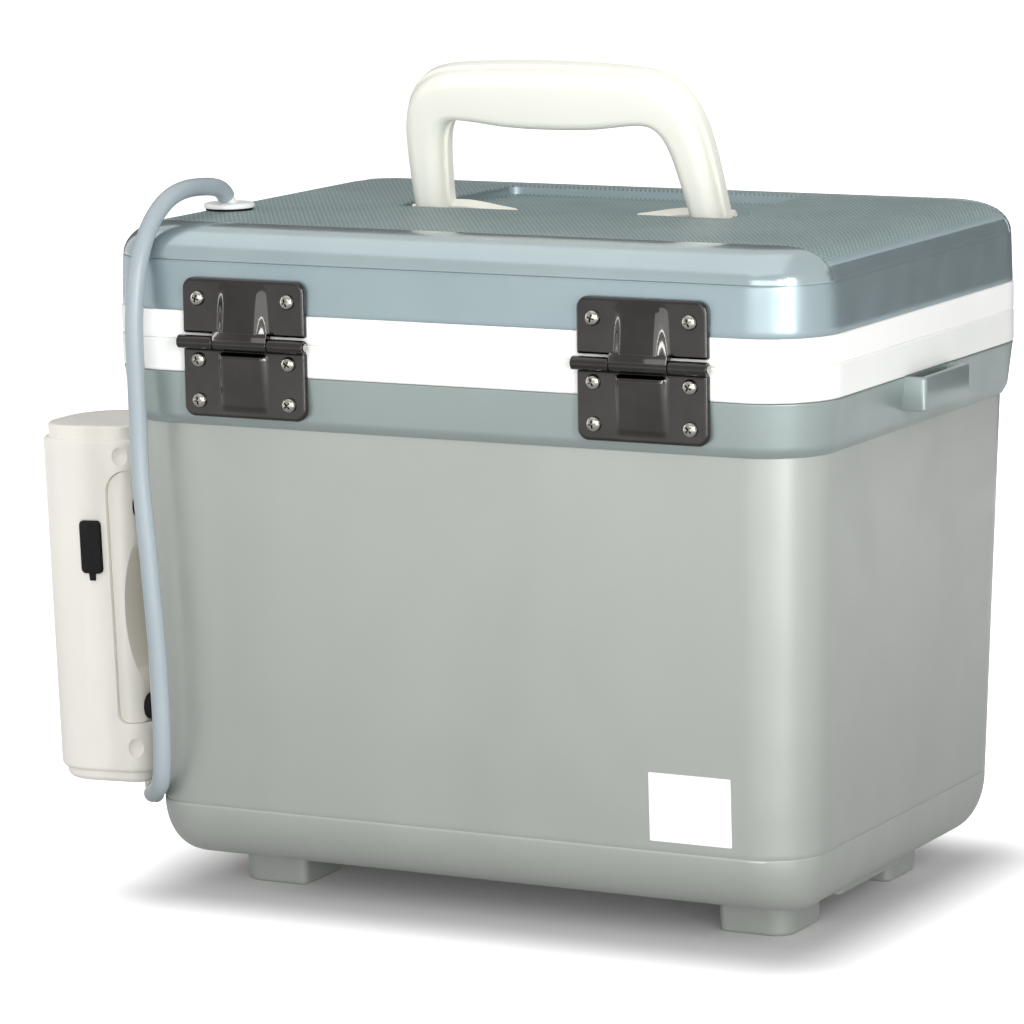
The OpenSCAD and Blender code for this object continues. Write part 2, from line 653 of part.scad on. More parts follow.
module inner_hose() { color("#cfdfe6") raised() swept_tube(inner_route, hose_d, 8); }

module air_stone() {
    color("#7d8a94") raised() translate([-114, -44, 34]) rotate_extrude()
        polygon([[0, 0], [6.4, 0], [7.4, 1], [7.4, 22], [6.4, 23.4], [4.4, 24], [4.4, 31], [0, 31]]);
}

// ---------------------------------------------------------------- air pump

// A ring of the pump's plan: [inset, height]
function pump_ring(inset, w, rear = pump_in) = let (r_out = 22 - inset, r_in = 7 - inset / 2)
    [for (p = rect_outline(pump_out + inset, rear - inset, -pump_w / 2 + inset, pump_w / 2 - inset,
                           [r_in, r_out, r_out, r_in], corner_steps)) [p[0], p[1], w]];

rear_split = 10.5;              // u of the step line where the rear cover starts
rear_w = [25, 128];
rear_inset = 1;
post_w = [31, 113];
post_v = 17;
cavity_w = [10, pump_h - pump_top_cap_h - 4];
button_w = 118.6;
light_w = 102.6;

// The stretch of the pump's back that the rear cover fills, with rounded front corners
module rear_zone(grow, rear) {
    translate([0, 40, 0]) rotate([90, 0, 0]) linear_extrude(80)
        polygon(rect_outline(rear_split - grow, rear, rear_w[0] - grow, rear_w[1] + grow,
                             [0.5, 9 + grow, 4 + grow, 0.5], small_steps));
}

module pump_housing() {
    body_top = pump_h - pump_top_cap_h;
    color("#f3f2ea") raised() on_pump() difference() {
        skin([pump_ring(1, pump_band_z), pump_ring(0, pump_band_z + 1), pump_ring(0, body_top - 1),
              pump_ring(1, body_top)]);
        rear_zone(0.05, 60);
        translate([-15, -19, cavity_w[0]]) cube([34, 38, cavity_w[1] - cavity_w[0]]);
        // screw scoops
        for (t = [-1, 1]) for (w = [15, 134]) translate([18.8, t * (pump_w / 2 + 2.4), w]) sphere(5);
        // charge port, button well and light pipe
        translate([-2.2, -pump_w / 2 - 1, 86.8]) cube([9.4, 14, 20.6]);
        translate([-40, 0, button_w]) rod_x(7.15, 0, 30);
        translate([-40, 0, light_w]) rod_x(1.5, 0, 30);
        translate([8, 0, -1]) cylinder(r = 3.3, h = 13);
    }
}

module pump_rear_cover() {
    hollow_r = 90;
    hollow_depth = 4.5;
    color("#f0efe6") raised() on_pump() difference() {
        union() {
            intersection() {
                skin([pump_ring(rear_inset, rear_w[0] + 0.1), pump_ring(rear_inset, rear_w[1] - 0.1)]);
                rear_zone(-0.05, pump_in - 2);
            }
            for (w = post_w) for (t = [-1, 1]) translate([16, t * post_v, w]) rotate([0, 90, 0])
                cylinder(r1 = 5.9, r2 = 5.5, h = 4);
        }
        // concave hollow between the posts
        translate([pump_in - 2 + hollow_r - hollow_depth, 0, 71]) rotate([90, 0, 0])
            cylinder(r = hollow_r, h = 80, center = true);
        translate([5, -17, rear_w[0] + 3]) cube([8, 34, rear_w[1] - rear_w[0] - 6]);
    }
}

module pump_top_cap() {
    top = pump_h - pump_top_cap_h;
    color("#f3f2ea") raised()
        on_pump() skin([pump_ring(pump_cap_inset, top + 0.02), pump_ring(pump_cap_inset, pump_h - 1.4),
                                     pump_ring(pump_cap_inset + 0.5, pump_h - 0.4),
                                     pump_ring(pump_cap_inset + 1.5, pump_h)]);
}

module pump_bottom_cap() {
    color("#f3f2ea") raised() on_pump() difference() {
        skin([pump_ring(pump_cap_inset + 2, 0), pump_ring(pump_cap_inset + 0.6, 0.8),
              pump_ring(pump_cap_inset, 2), pump_ring(pump_cap_inset, pump_band_z - 0.02)]);
        translate([8, 0, -1]) cylinder(r = 3.3, h = 8);
    }
}

module pump_rubber_pads() {
    color("#17181a") raised()
        on_pump() for (w = post_w) for (t = [-1, 1]) translate([20.02, t * post_v, w])
        rotate([0, 90, 0]) difference() {
            cylinder(r = 5.4, h = 2);
            translate([0, 0, -1]) cylinder(r = 1.7, h = 4);
        }
}

// Screws through the hanger and the pads into the posts of the rear cover
module hanger_screws() {
    color("#d5d5d2") raised()
        on_pump() for (w = post_w) for (t = [-1, 1]) translate([22.12 + hanger_t, t * post_v, w])
        rotate([0, 90, 0]) pan_screw(11);
}

hanger_t = 3;
hook_half = 9;

// A bracket screwed to the pump's back: plate, stand-off foot and a hook over the strap loop
module pump_hanger() {
    hook_y = pump_at[1];
    hook_top = 206.4;
    color("#eceae1") raised() union() {
        on_pump() difference() {
            translate([22.1, -hook_half - 11, 22.5]) cube([hanger_t, 2 * (hook_half + 11), 97]);
            for (w = post_w) for (t = [-1, 1]) translate([20, t * post_v, w]) rod_x(1.75, 0, 8);
        }
        // strap from the plate up to the loop, drawn from the side
        translate([0, hook_y + hook_half, 0]) rotate([90, 0, 0]) linear_extrude(2 * hook_half)
            polygon([[-179.4, 114], [-176, 114], [-175.4, 133], [-160.4, 165], [-158.4, 173],
                     [-158.4, 203.6], [-154.6, 203.6], [-154.4, 188], [-152.6, 187], [-150.6, 188.5],
                     [-150.6, hook_top - 1.6],
                     [-152.2, hook_top], [-160, hook_top], [-161.6, hook_top - 1.6], [-161.6, 174],
                     [-178.8, 138]]);
        // foot that keeps the pump parallel to the wall
        translate([0, hook_y + hook_half, 0]) rotate([90, 0, 0]) linear_extrude(2 * hook_half)
            polygon([[-175.2, 46], [-175.6, 62], [-150, 58.5], [-144.4, 58.5], [-144.4, 49.5],
                     [-150, 49.5]]);
    }
}

module hanger_wall_pad() {
    color("#17181a") raised() translate([-144.38, pump_at[1], 54]) rod_x(4.2, 0, 3.3);
}

// Elbow through the bottom cap; its barb is pushed into the end of the hose
module pump_outlet_elbow() {
    drop = -6;
    hose_end = hose_route[len(hose_route) - 1];
    color("#f3f2ea") raised() union() {
        on_pump() translate([8, 0, drop]) cylinder(r = 3.2, h = 14);
        hull() {
            on_pump() translate([8, 0, drop]) sphere(3.2, $fn = 24);
            translate(hose_end + 1.6 * unit(hose_end - hose_route[len(hose_route) - 2]))
                sphere(2.6, $fn = 24);
        }
    }
}

module air_motor() {
    color("#8f979c") raised() on_pump() union() {
        translate([-13, -16, 12]) cube([23, 32, 22]);
        translate([0, 0, 34]) cylinder(r = 12.5, h = 22);
    }
}

module battery_cell() {
    color("#3f7f9c") raised() on_pump() translate([0, 9.6, 60]) cylinder(r = 9, h = 65);
}

module circuit_board() {
    color("#2f6b46") raised() on_pump() translate([-12, -3, 60]) cube([24, 1.6, 66]);
}

module charge_socket() {
    color("#b9bcbe") raised() on_pump() difference() {
        translate([-1.4, -pump_w / 2 + 4, 90.6]) cube([7.8, 7.4, 12]);
        translate([-0.4, -pump_w / 2 + 3.9, 91.6]) cube([5.8, 5, 10]);
    }
}

flap_u = [-2.5, 7.5];
flap_w = [86.2, 108];

module charge_port_flap() {
    color("#141516") raised() on_pump() union() {
        translate([0, -pump_w / 2 - 0.05, 0]) rotate([90, 0, 0]) linear_extrude(1.3)
            polygon(rect_outline(flap_u[0], flap_u[1], flap_w[0], flap_w[1], [1.8, 1.8, 1.8, 1.8],
                                 small_steps));
        translate([0, -pump_w / 2 - 0.05, 0]) rotate([90, 0, 0]) linear_extrude(0.9)
            polygon([[0.9, flap_w[0] + 0.4], [1.4, flap_w[0] - 3.2], [3.6, flap_w[0] - 3.2],
                     [4.1, flap_w[0] + 0.4]]);
    }
}

module power_button() {
    color("#dcdcd4") raised() on_pump() translate([0, 0, button_w])
        rod_x(7.05, pump_out - 1.2, pump_out + 3);
}

module status_light() {
    color("#7fd0ff") raised()
        on_pump() translate([0, 0, light_w]) rod_x(1.45, pump_out + 0.1, pump_out + 6);
}

// ---------------------------------------------------------------- nodes

outer_shell();
rim_collar();
inner_tub();
box_foam();
hinge_lower_leaf_left();
hinge_lower_leaf_right();
hinge_pins();
box_hinge_screws();
latch_keeper_left();
latch_keeper_right();
latch_keeper_screws();
lid_cover();
lid_liner();
lid_foam();
lid_gasket();
hinge_upper_leaf_left();
hinge_upper_leaf_right();
lid_hinge_screws();
latch_base_left();
latch_base_right();
latch_pins();
latch_base_screws();
latch_hasp_left();
latch_hasp_right();
handle_pivot_pins();
handle_front_half();
handle_rear_half();
hose_grommet();
grommet_washer();
inner_hose();
air_stone();
air_hose();
pump_housing();
pump_rear_cover();
pump_top_cap();
pump_bottom_cap();
pump_rubber_pads();
pump_hanger();
hanger_screws();
hanger_wall_pad();
pump_outlet_elbow();
air_motor();
battery_cell();
circuit_board();
charge_socket();
charge_port_flap();
power_button();
status_light();
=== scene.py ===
import math
from math import cos, pi, radians, sin

import bmesh
import bpy
from mathutils import Matrix, Vector


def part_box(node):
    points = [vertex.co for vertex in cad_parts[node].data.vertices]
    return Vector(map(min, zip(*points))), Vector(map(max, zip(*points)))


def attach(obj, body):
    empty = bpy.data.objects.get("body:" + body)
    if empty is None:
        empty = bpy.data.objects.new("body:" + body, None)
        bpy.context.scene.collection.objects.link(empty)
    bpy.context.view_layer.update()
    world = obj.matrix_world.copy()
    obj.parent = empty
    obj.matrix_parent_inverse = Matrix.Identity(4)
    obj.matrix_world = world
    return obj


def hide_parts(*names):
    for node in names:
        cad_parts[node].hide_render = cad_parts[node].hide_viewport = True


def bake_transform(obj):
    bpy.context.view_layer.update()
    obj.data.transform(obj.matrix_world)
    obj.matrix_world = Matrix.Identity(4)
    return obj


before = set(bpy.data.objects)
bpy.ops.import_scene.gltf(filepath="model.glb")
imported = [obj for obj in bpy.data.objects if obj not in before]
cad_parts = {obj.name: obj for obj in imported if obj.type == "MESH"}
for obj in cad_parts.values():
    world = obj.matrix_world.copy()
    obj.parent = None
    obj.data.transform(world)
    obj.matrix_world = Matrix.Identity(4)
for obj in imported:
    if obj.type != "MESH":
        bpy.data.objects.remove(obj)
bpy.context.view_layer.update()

# Lengths below are in millimetres in the CAD frame, and MM turns them into Blender's metres.
MM = 0.001


def cad_extent(node):
    """Lowest and highest corner of a CAD node, in millimetres."""
    low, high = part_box(node)
    return low / MM, high / MM


RIM_X, RIM_Y, SEAM_Z = cad_extent("inner_tub")[1]
COLLAR_LOW_Z, TRIM_LOW_Z = (corner.z for corner in cad_extent("rim_collar"))
PLUG_LOW_Z, TRIM_HIGH_Z = (corner.z for corner in cad_extent("lid_liner"))
LID_TOP_Z = cad_extent("lid_cover")[1].z
SHELL_TOP_Z = cad_extent("outer_shell")[1].z
GROOVE_Z = TRIM_HIGH_Z + 19          # where the lid's wall meets its shoulder
RIM_CORNER = 27
BODY_BOTTOM_Z = 15
BOTTOM_ROUND, SIDE_ROUND = 22, 12    # the rounding under the body, seen from the side and the front
PARTING_Z = BODY_BOTTOM_Z + BOTTOM_ROUND
SHELL_INSET_TOP = 4.05
WALL_DRAFT = 0.0342
WALL = 2.5
TEXTURE_LOW_Z = GROOVE_Z + 8.2       # the lid's mesh texture fades out here on its side shoulders

CORNER_STEPS = 20
SUPPORT = 0.8          # distance of the extra points that keep flat walls flat in the shading
GAP = 0.02             # between pieces that meet
MERGE = 0.002 * MM     # points closer than this are one point
IDENTITY = Matrix.Identity(4)


# ---- mesh helpers

def link(obj):
    bpy.context.scene.collection.objects.link(obj)
    return obj


def smooth_by_angle(bm, limit):
    for face in bm.faces:
        face.smooth = True
    for edge in bm.edges:
        edge.smooth = edge.calc_face_angle(0) < radians(limit)


def mesh_piece(name, verts, faces, finish, sharp=35, matrix=IDENTITY):
    """A mesh object from points in millimetres, shaded smooth except at sharp edges."""
    bm = bmesh.new()
    made = [bm.verts.new((matrix @ Vector(v)) * MM) for v in verts]
    for face in faces:
        bm.faces.new([made[i] for i in face])
    bmesh.ops.recalc_face_normals(bm, faces=bm.faces)
    smooth_by_angle(bm, sharp)
    mesh = bpy.data.meshes.new(name)
    bm.to_mesh(mesh)
    bm.free()
    mesh.materials.append(finishes[finish])
    return link(bpy.data.objects.new(name, mesh))


def ring_faces(count, rows, closed=False):
    """Quads over rings of equal count; unless closed, both ends are capped."""
    faces = []
    for j in range(rows if closed else rows - 1):
        a, b = j * count, ((j + 1) % rows) * count
        faces += [(a + i, a + (i + 1) % count, b + (i + 1) % count, b + i) for i in range(count)]
    if not closed:
        faces.append(tuple(range(count))[::-1])
        faces.append(tuple(range((rows - 1) * count, rows * count)))
    return faces


def loft(name, rings, finish, closed=False, sharp=35, matrix=IDENTITY):
    verts = [p for ring in rings for p in ring]
    return mesh_piece(name, verts, ring_faces(len(rings[0]), len(rings), closed), finish, sharp, matrix)


def join(name, pieces):
    """Joins pieces into the first one, which takes the name."""
    bm = bmesh.new()
    for piece in pieces:
        piece_mesh = piece.data.copy()
        piece_mesh.transform(piece.matrix_world)
        bm.from_mesh(piece_mesh)
        bpy.data.meshes.remove(piece_mesh)
    first = pieces[0]
    bm.to_mesh(first.data)
    bm.free()
    first.matrix_world = Matrix.Identity(4)
    for piece in pieces[1:]:
        bpy.data.objects.remove(piece)
    first.name = name
    return first


def add_modifier(obj, kind, **settings):
    step = obj.modifiers.new(kind.lower(), kind)
    for key, value in settings.items():
        setattr(step, key, value)


def carve(target, cutters, operation="DIFFERENCE", sharp=35, bevel=0):
    """Applies a boolean with each cutter, removes the cutters, and rounds the new edges."""
    for cutter in cutters:
        add_modifier(target, "BOOLEAN", operation=operation, solver="EXACT", object=cutter)
    if bevel:
        add_modifier(target, "BEVEL", width=bevel * MM, segments=3, limit_method="ANGLE",
                     angle_limit=radians(40), use_clamp_overlap=True)
    bpy.context.view_layer.update()
    depsgraph = bpy.context.evaluated_depsgraph_get()
    result = bpy.data.meshes.new_from_object(target.evaluated_get(depsgraph))
    target.modifiers.clear()
    old = target.data
    target.data = result
    bpy.data.meshes.remove(old)
    bm = bmesh.new()
    bm.from_mesh(result)
    bmesh.ops.remove_doubles(bm, verts=bm.verts, dist=MERGE)
    bmesh.ops.dissolve_degenerate(bm, edges=bm.edges, dist=MERGE)
    smooth_by_angle(bm, sharp)
    bm.to_mesh(result)
    bm.free()
    for cutter in cutters:
        bpy.data.objects.remove(cutter)


def corner_points(cx, cy, r, start, steps, support):
    """A quarter turn of an outline, with a point just before and just after it on the flats."""
    turns = arc(start, start + 90, steps)
    out = [(cx + r * cos(a), cy + r * sin(a)) for a in turns]
    if support:
        (x, y), a = out[0], turns[0]
        out.insert(0, (x + support * sin(a), y - support * cos(a)))
        (x, y), a = out[-1], turns[-1]
        out.append((x - support * sin(a), y + support * cos(a)))
    return out


def rounded_rect(x0, x1, y0, y1, radii, steps=CORNER_STEPS, support=SUPPORT):
    """Counter-clockwise outline from the +X +Y corner; radii in the same order."""
    centres = ((x1 - radii[0], y1 - radii[0]), (x0 + radii[1], y1 - radii[1]),
               (x0 + radii[2], y0 + radii[2]), (x1 - radii[3], y0 + radii[3]))
    out = []
    for k, (cx, cy) in enumerate(centres):
        out += corner_points(cx, cy, radii[k], 90 * k, steps, support)
    return out


def grown_rect(x0, x1, y0, y1, grow, r, steps):
    """A rectangle grown on every side, with one radius at all its corners."""
    return rounded_rect(x0 - grow, x1 + grow, y0 - grow, y1 + grow, [r] * 4, steps, 0)


def level(outline, z):
    return [(x, y, z) for x, y in outline]


def arc(start, end, steps):
    """Angles from start to end degrees, in radians."""
    return [radians(start + (end - start) * k / steps) for k in range(steps + 1)]


def spin(degrees, axis):
    return Matrix.Rotation(radians(degrees), 4, axis)


def toward(a, b, distance):
    """The point that far from a on the way to b, at most 45% of the way."""
    length = math.dist(a, b)
    share = min(distance / length, 0.45) if length > 1e-9 else 0
    return [p + (q - p) * share for p, q in zip(a, b)]


def softened(rows, closed=False, steps=5):
    """Rounds the rows of a profile: the last number of each row is its fillet."""
    out = []
    count = len(rows)
    for k, row in enumerate(rows):
        here, fillet = list(row[:-1]), row[-1]
        inner = closed or 0 < k < count - 1
        if not fillet or not inner:
            out.append(here)
            continue
        start = toward(here, rows[k - 1][:-1], fillet)
        end = toward(here, rows[(k + 1) % count][:-1], fillet)
        for step in range(steps + 1):
            t = step / steps
            out.append([(1 - t) ** 2 * s + 2 * t * (1 - t) * h + t * t * e
                        for s, h, e in zip(start, here, end)])
    return out

def box_ring(row):
    """A ring of the box from [inset in x, inset in y, height, corner radius]."""
    inset_x, inset_y, z, r = row[:4]
    hx, hy = RIM_X - inset_x, RIM_Y - inset_y
    return level(rounded_rect(-hx, hx, -hy, hy, [r] * 4), z)


def box_loft(name, rows, finish, closed=False, sharp=40):
    return loft(name, [box_ring(row) for row in rows], finish, closed, sharp)


def shell_inset(z):
    return SHELL_INSET_TOP + (SHELL_TOP_Z - z) * WALL_DRAFT


def concentric(inset):
    return RIM_CORNER - 0.5 * inset


def even(inset, z, fillet=0.0):
    return [inset, inset, z, concentric(inset), fillet]


def trim_rows(low, high):
    """The white band's outer face between two heights, softened at both edges."""
    return [[0.6, 0.6, low, RIM_CORNER, 0.2], [0, 0, low + 0.58, RIM_CORNER, 0.35],
            [0, 0, high - 0.6, RIM_CORNER, 0.35], [0.6, 0.6, high, RIM_CORNER, 0.2]]


def catmull(points, per_span):
    """A smooth line through the points, as lists of the same length as each point."""
    out = []
    last = len(points) - 1
    for k in range(last):
        p0, p1, p2, p3 = points[max(k - 1, 0)], points[k], points[k + 1], points[min(k + 2, last)]
        for step in range(per_span):
            t = step / per_span
            out.append([0.5 * (2 * b + (c - a) * t + (2 * a - 5 * b + 4 * c - d) * t * t
                               + (3 * b - a - 3 * c + d) * t ** 3) for a, b, c, d in zip(p0, p1, p2, p3)])
    out.append(list(points[last]))
    return out


def smoothstep(value, low, high):
    t = min(max((value - low) / (high - low), 0), 1)
    return t * t * (3 - 2 * t)


def put(piece, body, slot, *nodes):
    """The piece rides on a body and stands for CAD nodes, which it hides; its slot is not used."""
    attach(piece, body)
    if nodes:
        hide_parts(*nodes)
    return piece

# ---- materials

def feed(tree, socket, value):
    """Gives a socket a value, or wires an output to it."""
    if isinstance(value, bpy.types.NodeSocket):
        tree.links.new(value, socket)
    else:
        socket.default_value = value


def add_node(tree, kind, inputs, **settings):
    made = tree.nodes.new("ShaderNode" + kind)
    for key, value in settings.items():
        setattr(made, key, value)
    for socket, value in inputs.items():
        feed(tree, made.inputs[socket], value)
    return made


class Finish:
    """A Principled material with a few procedural helpers."""

    def __init__(self, name, colour, roughness, metallic=0.0, coat=0.0, coat_roughness=0.1):
        self.material = bpy.data.materials.new(name)
        self.material.use_nodes = True
        self.tree = self.material.node_tree
        self.base = (*srgb(*colour), 1)
        self.normal = None
        self.set("Base Color", self.base)
        self.set("Roughness", roughness)
        self.set("Metallic", metallic)
        self.set("Coat Weight", coat)
        self.set("Coat Roughness", coat_roughness)
        self.place = self.node("TexCoord", {}).outputs["Object"]

    def node(self, kind, inputs, **settings):
        return add_node(self.tree, kind, inputs, **settings)

    def set(self, socket, value):
        feed(self.tree, self.tree.nodes["Principled BSDF"].inputs[socket], value)

    def noise(self, size_mm, detail=3.0, stretch=(1, 1, 1), distortion=0.0):
        """A noise value about 0.5, whose blotches are about size_mm across."""
        mapping = self.node("Mapping", {"Vector": self.place, "Scale": stretch})
        noise = {"Vector": mapping.outputs["Vector"], "Scale": 1 / (size_mm * MM),
                 "Detail": detail, "Distortion": distortion}
        return self.node("TexNoise", noise).outputs["Fac"]

    def spread(self, value, low, high, low_in=0.3, high_in=0.7):
        """Maps a noise value onto a range."""
        ends = {"From Min": low_in, "From Max": high_in, "To Min": low, "To Max": high}
        return self.node("MapRange", {"Value": value, **ends}).outputs["Result"]

    def tint(self, value, other, share):
        """Mixes up to share of another linear colour into the base, by a value from 0 to 1."""
        mix = {"A": self.base, "B": (*other, 1), "Factor": self.spread(value, 0, share)}
        self.base = self.node("Mix", mix, data_type="RGBA").outputs["Result"]
        self.set("Base Color", self.base)

    def rough(self, value, low, high):
        self.set("Roughness", self.spread(value, low, high))

    def bump(self, value, depth_mm):
        """Adds a height, in millimetres for a value of 1, to the surface."""
        inputs = {"Strength": 1.0, "Distance": depth_mm * MM, "Height": value}
        if self.normal:
            inputs["Normal"] = self.normal
        self.normal = self.node("Bump", inputs).outputs["Normal"]
        self.set("Normal", self.normal)

    def maths(self, operation, *values):
        return self.node("Math", dict(enumerate(values)), operation=operation).outputs[0]


def srgb(r, g, b):
    """Linear colour of an 8-bit display colour."""
    return tuple((c / 255 / 12.92) if c <= 10 else ((c / 255 + 0.055) / 1.055) ** 2.4 for c in (r, g, b))


def moulded(name, colour, other, roughness, coat=0.0, cloud_mm=60, grain_mm=0.9, grain_depth=0.0015,
            metallic=0.0):
    """Moulded plastic: slow colour drift, uneven gloss and a fine skin."""
    finish = Finish(name, colour, roughness, metallic, coat)
    finish.tint(finish.noise(cloud_mm, 4, (1, 1, 0.6), 0.6), srgb(*other), 0.8)
    finish.rough(finish.noise(cloud_mm / 3, 3), roughness - 0.04, roughness + 0.05)
    if grain_depth:
        finish.bump(finish.noise(grain_mm, 2), grain_depth)
    return finish


LID_COLOUR = (147, 162, 166)
# Colour, clouds' colour and roughness of each moulded finish, and where it departs from the usual
MOULDED = {
    "body_pearl": ((164, 168, 163), (158, 162, 157), 0.34, {"cloud_mm": 70, "metallic": 0.35}),
    "collar_pearl": ((144, 155, 153), (138, 150, 148), 0.33,
                     {"cloud_mm": 50, "grain_depth": 0, "metallic": 0.45}),
    "lid_pearl": (LID_COLOUR, (140, 156, 161), 0.33, {"cloud_mm": 50, "grain_depth": 0, "metallic": 0.6}),
    "lid_gloss": ((156, 170, 172), (149, 164, 167), 0.2,
                  {"coat": 0.3, "cloud_mm": 50, "grain_depth": 0, "metallic": 0.6}),
    "lid_mesh_texture": ((128, 144, 145), (105, 122, 123), 0.5, {"cloud_mm": 50, "grain_depth": 0}),
    "trim_white": ((250, 250, 248), (246, 247, 245), 0.34, {"grain_depth": 0}),
    "tub_white": ((240, 241, 238), (232, 234, 232), 0.34, {}),
    "handle_white": ((240, 239, 229), (236, 235, 224), 0.4, {"grain_mm": 0.6, "grain_depth": 0.006}),
    "pump_white": ((248, 245, 237), (243, 239, 230), 0.36,
                   {"cloud_mm": 30, "grain_mm": 0.7, "grain_depth": 0.005}),
    "grommet_white": ((248, 248, 245), (240, 241, 238), 0.35, {}),
    "button_grey": ((214, 214, 208), (205, 206, 200), 0.4, {}),
    "black_rubber": ((12, 12, 13), (20, 20, 21), 0.62,
                     {"cloud_mm": 6, "grain_mm": 0.35, "grain_depth": 0.02}),
    "gasket_rubber": ((205, 209, 206), (190, 195, 192), 0.6, {}),
    "foam": ((226, 208, 150), (210, 188, 126), 0.85, {"cloud_mm": 8, "grain_mm": 1.2, "grain_depth": 0.2}),
    "stone": ((112, 122, 130), (86, 95, 103), 0.9, {"cloud_mm": 2, "grain_mm": 0.8, "grain_depth": 0.25}),
    "battery_wrap": ((62, 118, 150), (50, 100, 132), 0.3, {}),
    "circuit_green": ((40, 102, 68), (30, 82, 54), 0.45, {"cloud_mm": 5}),
    "motor_metal": ((150, 155, 158), (128, 133, 137), 0.42, {"metallic": 0.9}),
    "light_lens": ((160, 205, 235), (140, 190, 225), 0.15, {}),
    "paper_white": ((246, 246, 246), (240, 240, 240), 0.5, {"grain_mm": 0.3, "grain_depth": 0.004})}
METALS = {"screw_chrome": ((158, 156, 150), 0.12), "pin_steel": ((190, 189, 186), 0.17),
          "socket_metal": ((190, 192, 195), 0.28)}


def weave_lid_top(top):
    """A raised diamond mesh that fades out down the lid's left and right shoulders."""
    top.set("Specular IOR Level", 0.15)
    x, y, z = top.node("SeparateXYZ", {0: top.place}).outputs
    fade = top.spread(z, 0, 1, (TEXTURE_LOW_Z - 2.2) * MM, (TEXTURE_LOW_Z + 0.6) * MM)
    weave = top.maths("MULTIPLY", diamond_mesh(top, x, y), fade)
    edge = top.maths("SUBTRACT", 1, fade)
    top.tint(top.maths("ADD", 0.3, top.maths("MULTIPLY", edge, 0.4)), srgb(*LID_COLOUR), 1.0)
    top.tint(weave, srgb(166, 181, 180), 0.75)
    top.bump(weave, 0.2)


def diamond_mesh(finish, x, y, pitch=2.0, slope=0.62):
    """Raised lines that cross in a diamond mesh, 1 on a line and 0 between."""
    lines = []
    for sign in (1, -1):
        slant = finish.maths("ADD", finish.maths("MULTIPLY", x, 1 / (pitch * MM)),
                             finish.maths("MULTIPLY", y, sign * slope / (pitch * MM)))
        wave = finish.maths("ABSOLUTE", finish.maths("SINE", finish.maths("MULTIPLY", slant, pi)))
        lines.append(finish.maths("SUBTRACT", 1, finish.maths("POWER", wave, 0.7)))
    return finish.maths("MAXIMUM", *lines)


def make_nickel():
    nickel = Finish("dark_nickel", (36, 34, 32), 0.2, 1.0, coat=0.7, coat_roughness=0.06)
    nickel.tint(nickel.noise(0.9, 3), srgb(30, 29, 27), 0.75)
    nickel.tint(nickel.noise(14, 3), srgb(56, 54, 51), 0.5)
    nickel.rough(nickel.noise(5, 4), 0.14, 0.24)
    nickel.bump(nickel.noise(0.8, 2), 0.01)
    return nickel


def make_metal(name, colour, roughness):
    metal = Finish(name, colour, roughness, 1.0)
    metal.tint(metal.noise(1.5, 3), tuple(c * 0.7 for c in srgb(*colour)), 0.6)
    metal.rough(metal.noise(2.5, 3), roughness * 0.7, roughness * 1.5)
    metal.bump(metal.noise(0.6, 2), 0.004)
    return metal


def make_hose_finish():
    hose = Finish("hose_silicone", (160, 171, 176), 0.33)
    hose.tint(hose.noise(16, 3, (1, 1, 0.25)), srgb(150, 162, 169), 0.7)
    hose.rough(hose.noise(9, 3), 0.3, 0.38)
    return hose


def make_finishes():
    made = {name: moulded(name, *look, **more) for name, (*look, more) in MOULDED.items()}
    made["black_rubber"].set("Specular IOR Level", 0.2)
    weave_lid_top(made["lid_mesh_texture"])
    made.update({name: make_metal(name, *look) for name, look in METALS.items()})
    made["dark_nickel"] = make_nickel()
    made["hose_silicone"] = make_hose_finish()
    return {name: finish.material for name, finish in made.items()}


finishes = make_finishes()


# ---- camera, light and floor

CAMERA_AT = (890.5, -1762.4, 474.2)
CAMERA_YAW, CAMERA_PITCH, CAMERA_ROLL = 27.51, -9.45, -0.89      # degrees
FOCAL_PIXELS, IMAGE_PIXELS, SENSOR_MM = 5119, 1024, 36
WHITE = (1, 1, 1, 1)
WORLD_STRENGTH = 0.44
FLOOR_GREY, FLAG_GREY = 0.62, 0.12


def make_camera():
    """The photograph's view: about 2 m away, a little above, from the hinge side and the right."""
    yaw, pitch, roll = (radians(a) for a in (CAMERA_YAW, CAMERA_PITCH, CAMERA_ROLL))
    forward = Vector((-sin(yaw) * cos(pitch), cos(yaw) * cos(pitch), sin(pitch)))
    right = Vector((cos(yaw), sin(yaw), 0))
    up = right.cross(forward)
    rolled_right = cos(roll) * right + sin(roll) * up
    rolled_up = cos(roll) * up - sin(roll) * right
    matrix = Matrix((rolled_right, rolled_up, -forward)).transposed().to_4x4()
    matrix.translation = Vector(CAMERA_AT) * MM
    data = bpy.data.cameras.new("camera")
    data.sensor_fit = "HORIZONTAL"
    data.sensor_width = SENSOR_MM
    data.lens = FOCAL_PIXELS / IMAGE_PIXELS * SENSOR_MM
    data.clip_start, data.clip_end = 0.05, 60
    camera = link(bpy.data.objects.new("camera", data))
    camera.matrix_world = matrix
    bpy.context.scene.camera = camera


# Place, width, height and radiance of each lamp, in metres
LAMPS = {
    "top": ((-0.4, -0.2, 2.0), 3.0, 1.8, 0.62),
    "key_front": ((0.3, -1.7, 0.5), 1.4, 1.0, 2.2),
    "strip_corner": ((1.15, -0.95, 0.45), 0.16, 1.2, 22.0),
    "strip_front": ((0.86, -1.23, 0.45), 0.06, 1.0, 24.0),
    "edge_left": ((-1.5, -0.65, 0.45), 0.1, 1.0, 9.0),
    "fill_back": ((-0.4, 1.9, 0.8), 1.4, 1.0, 1.2)}
LAMPS_AIM = (0, 0, 0.14)


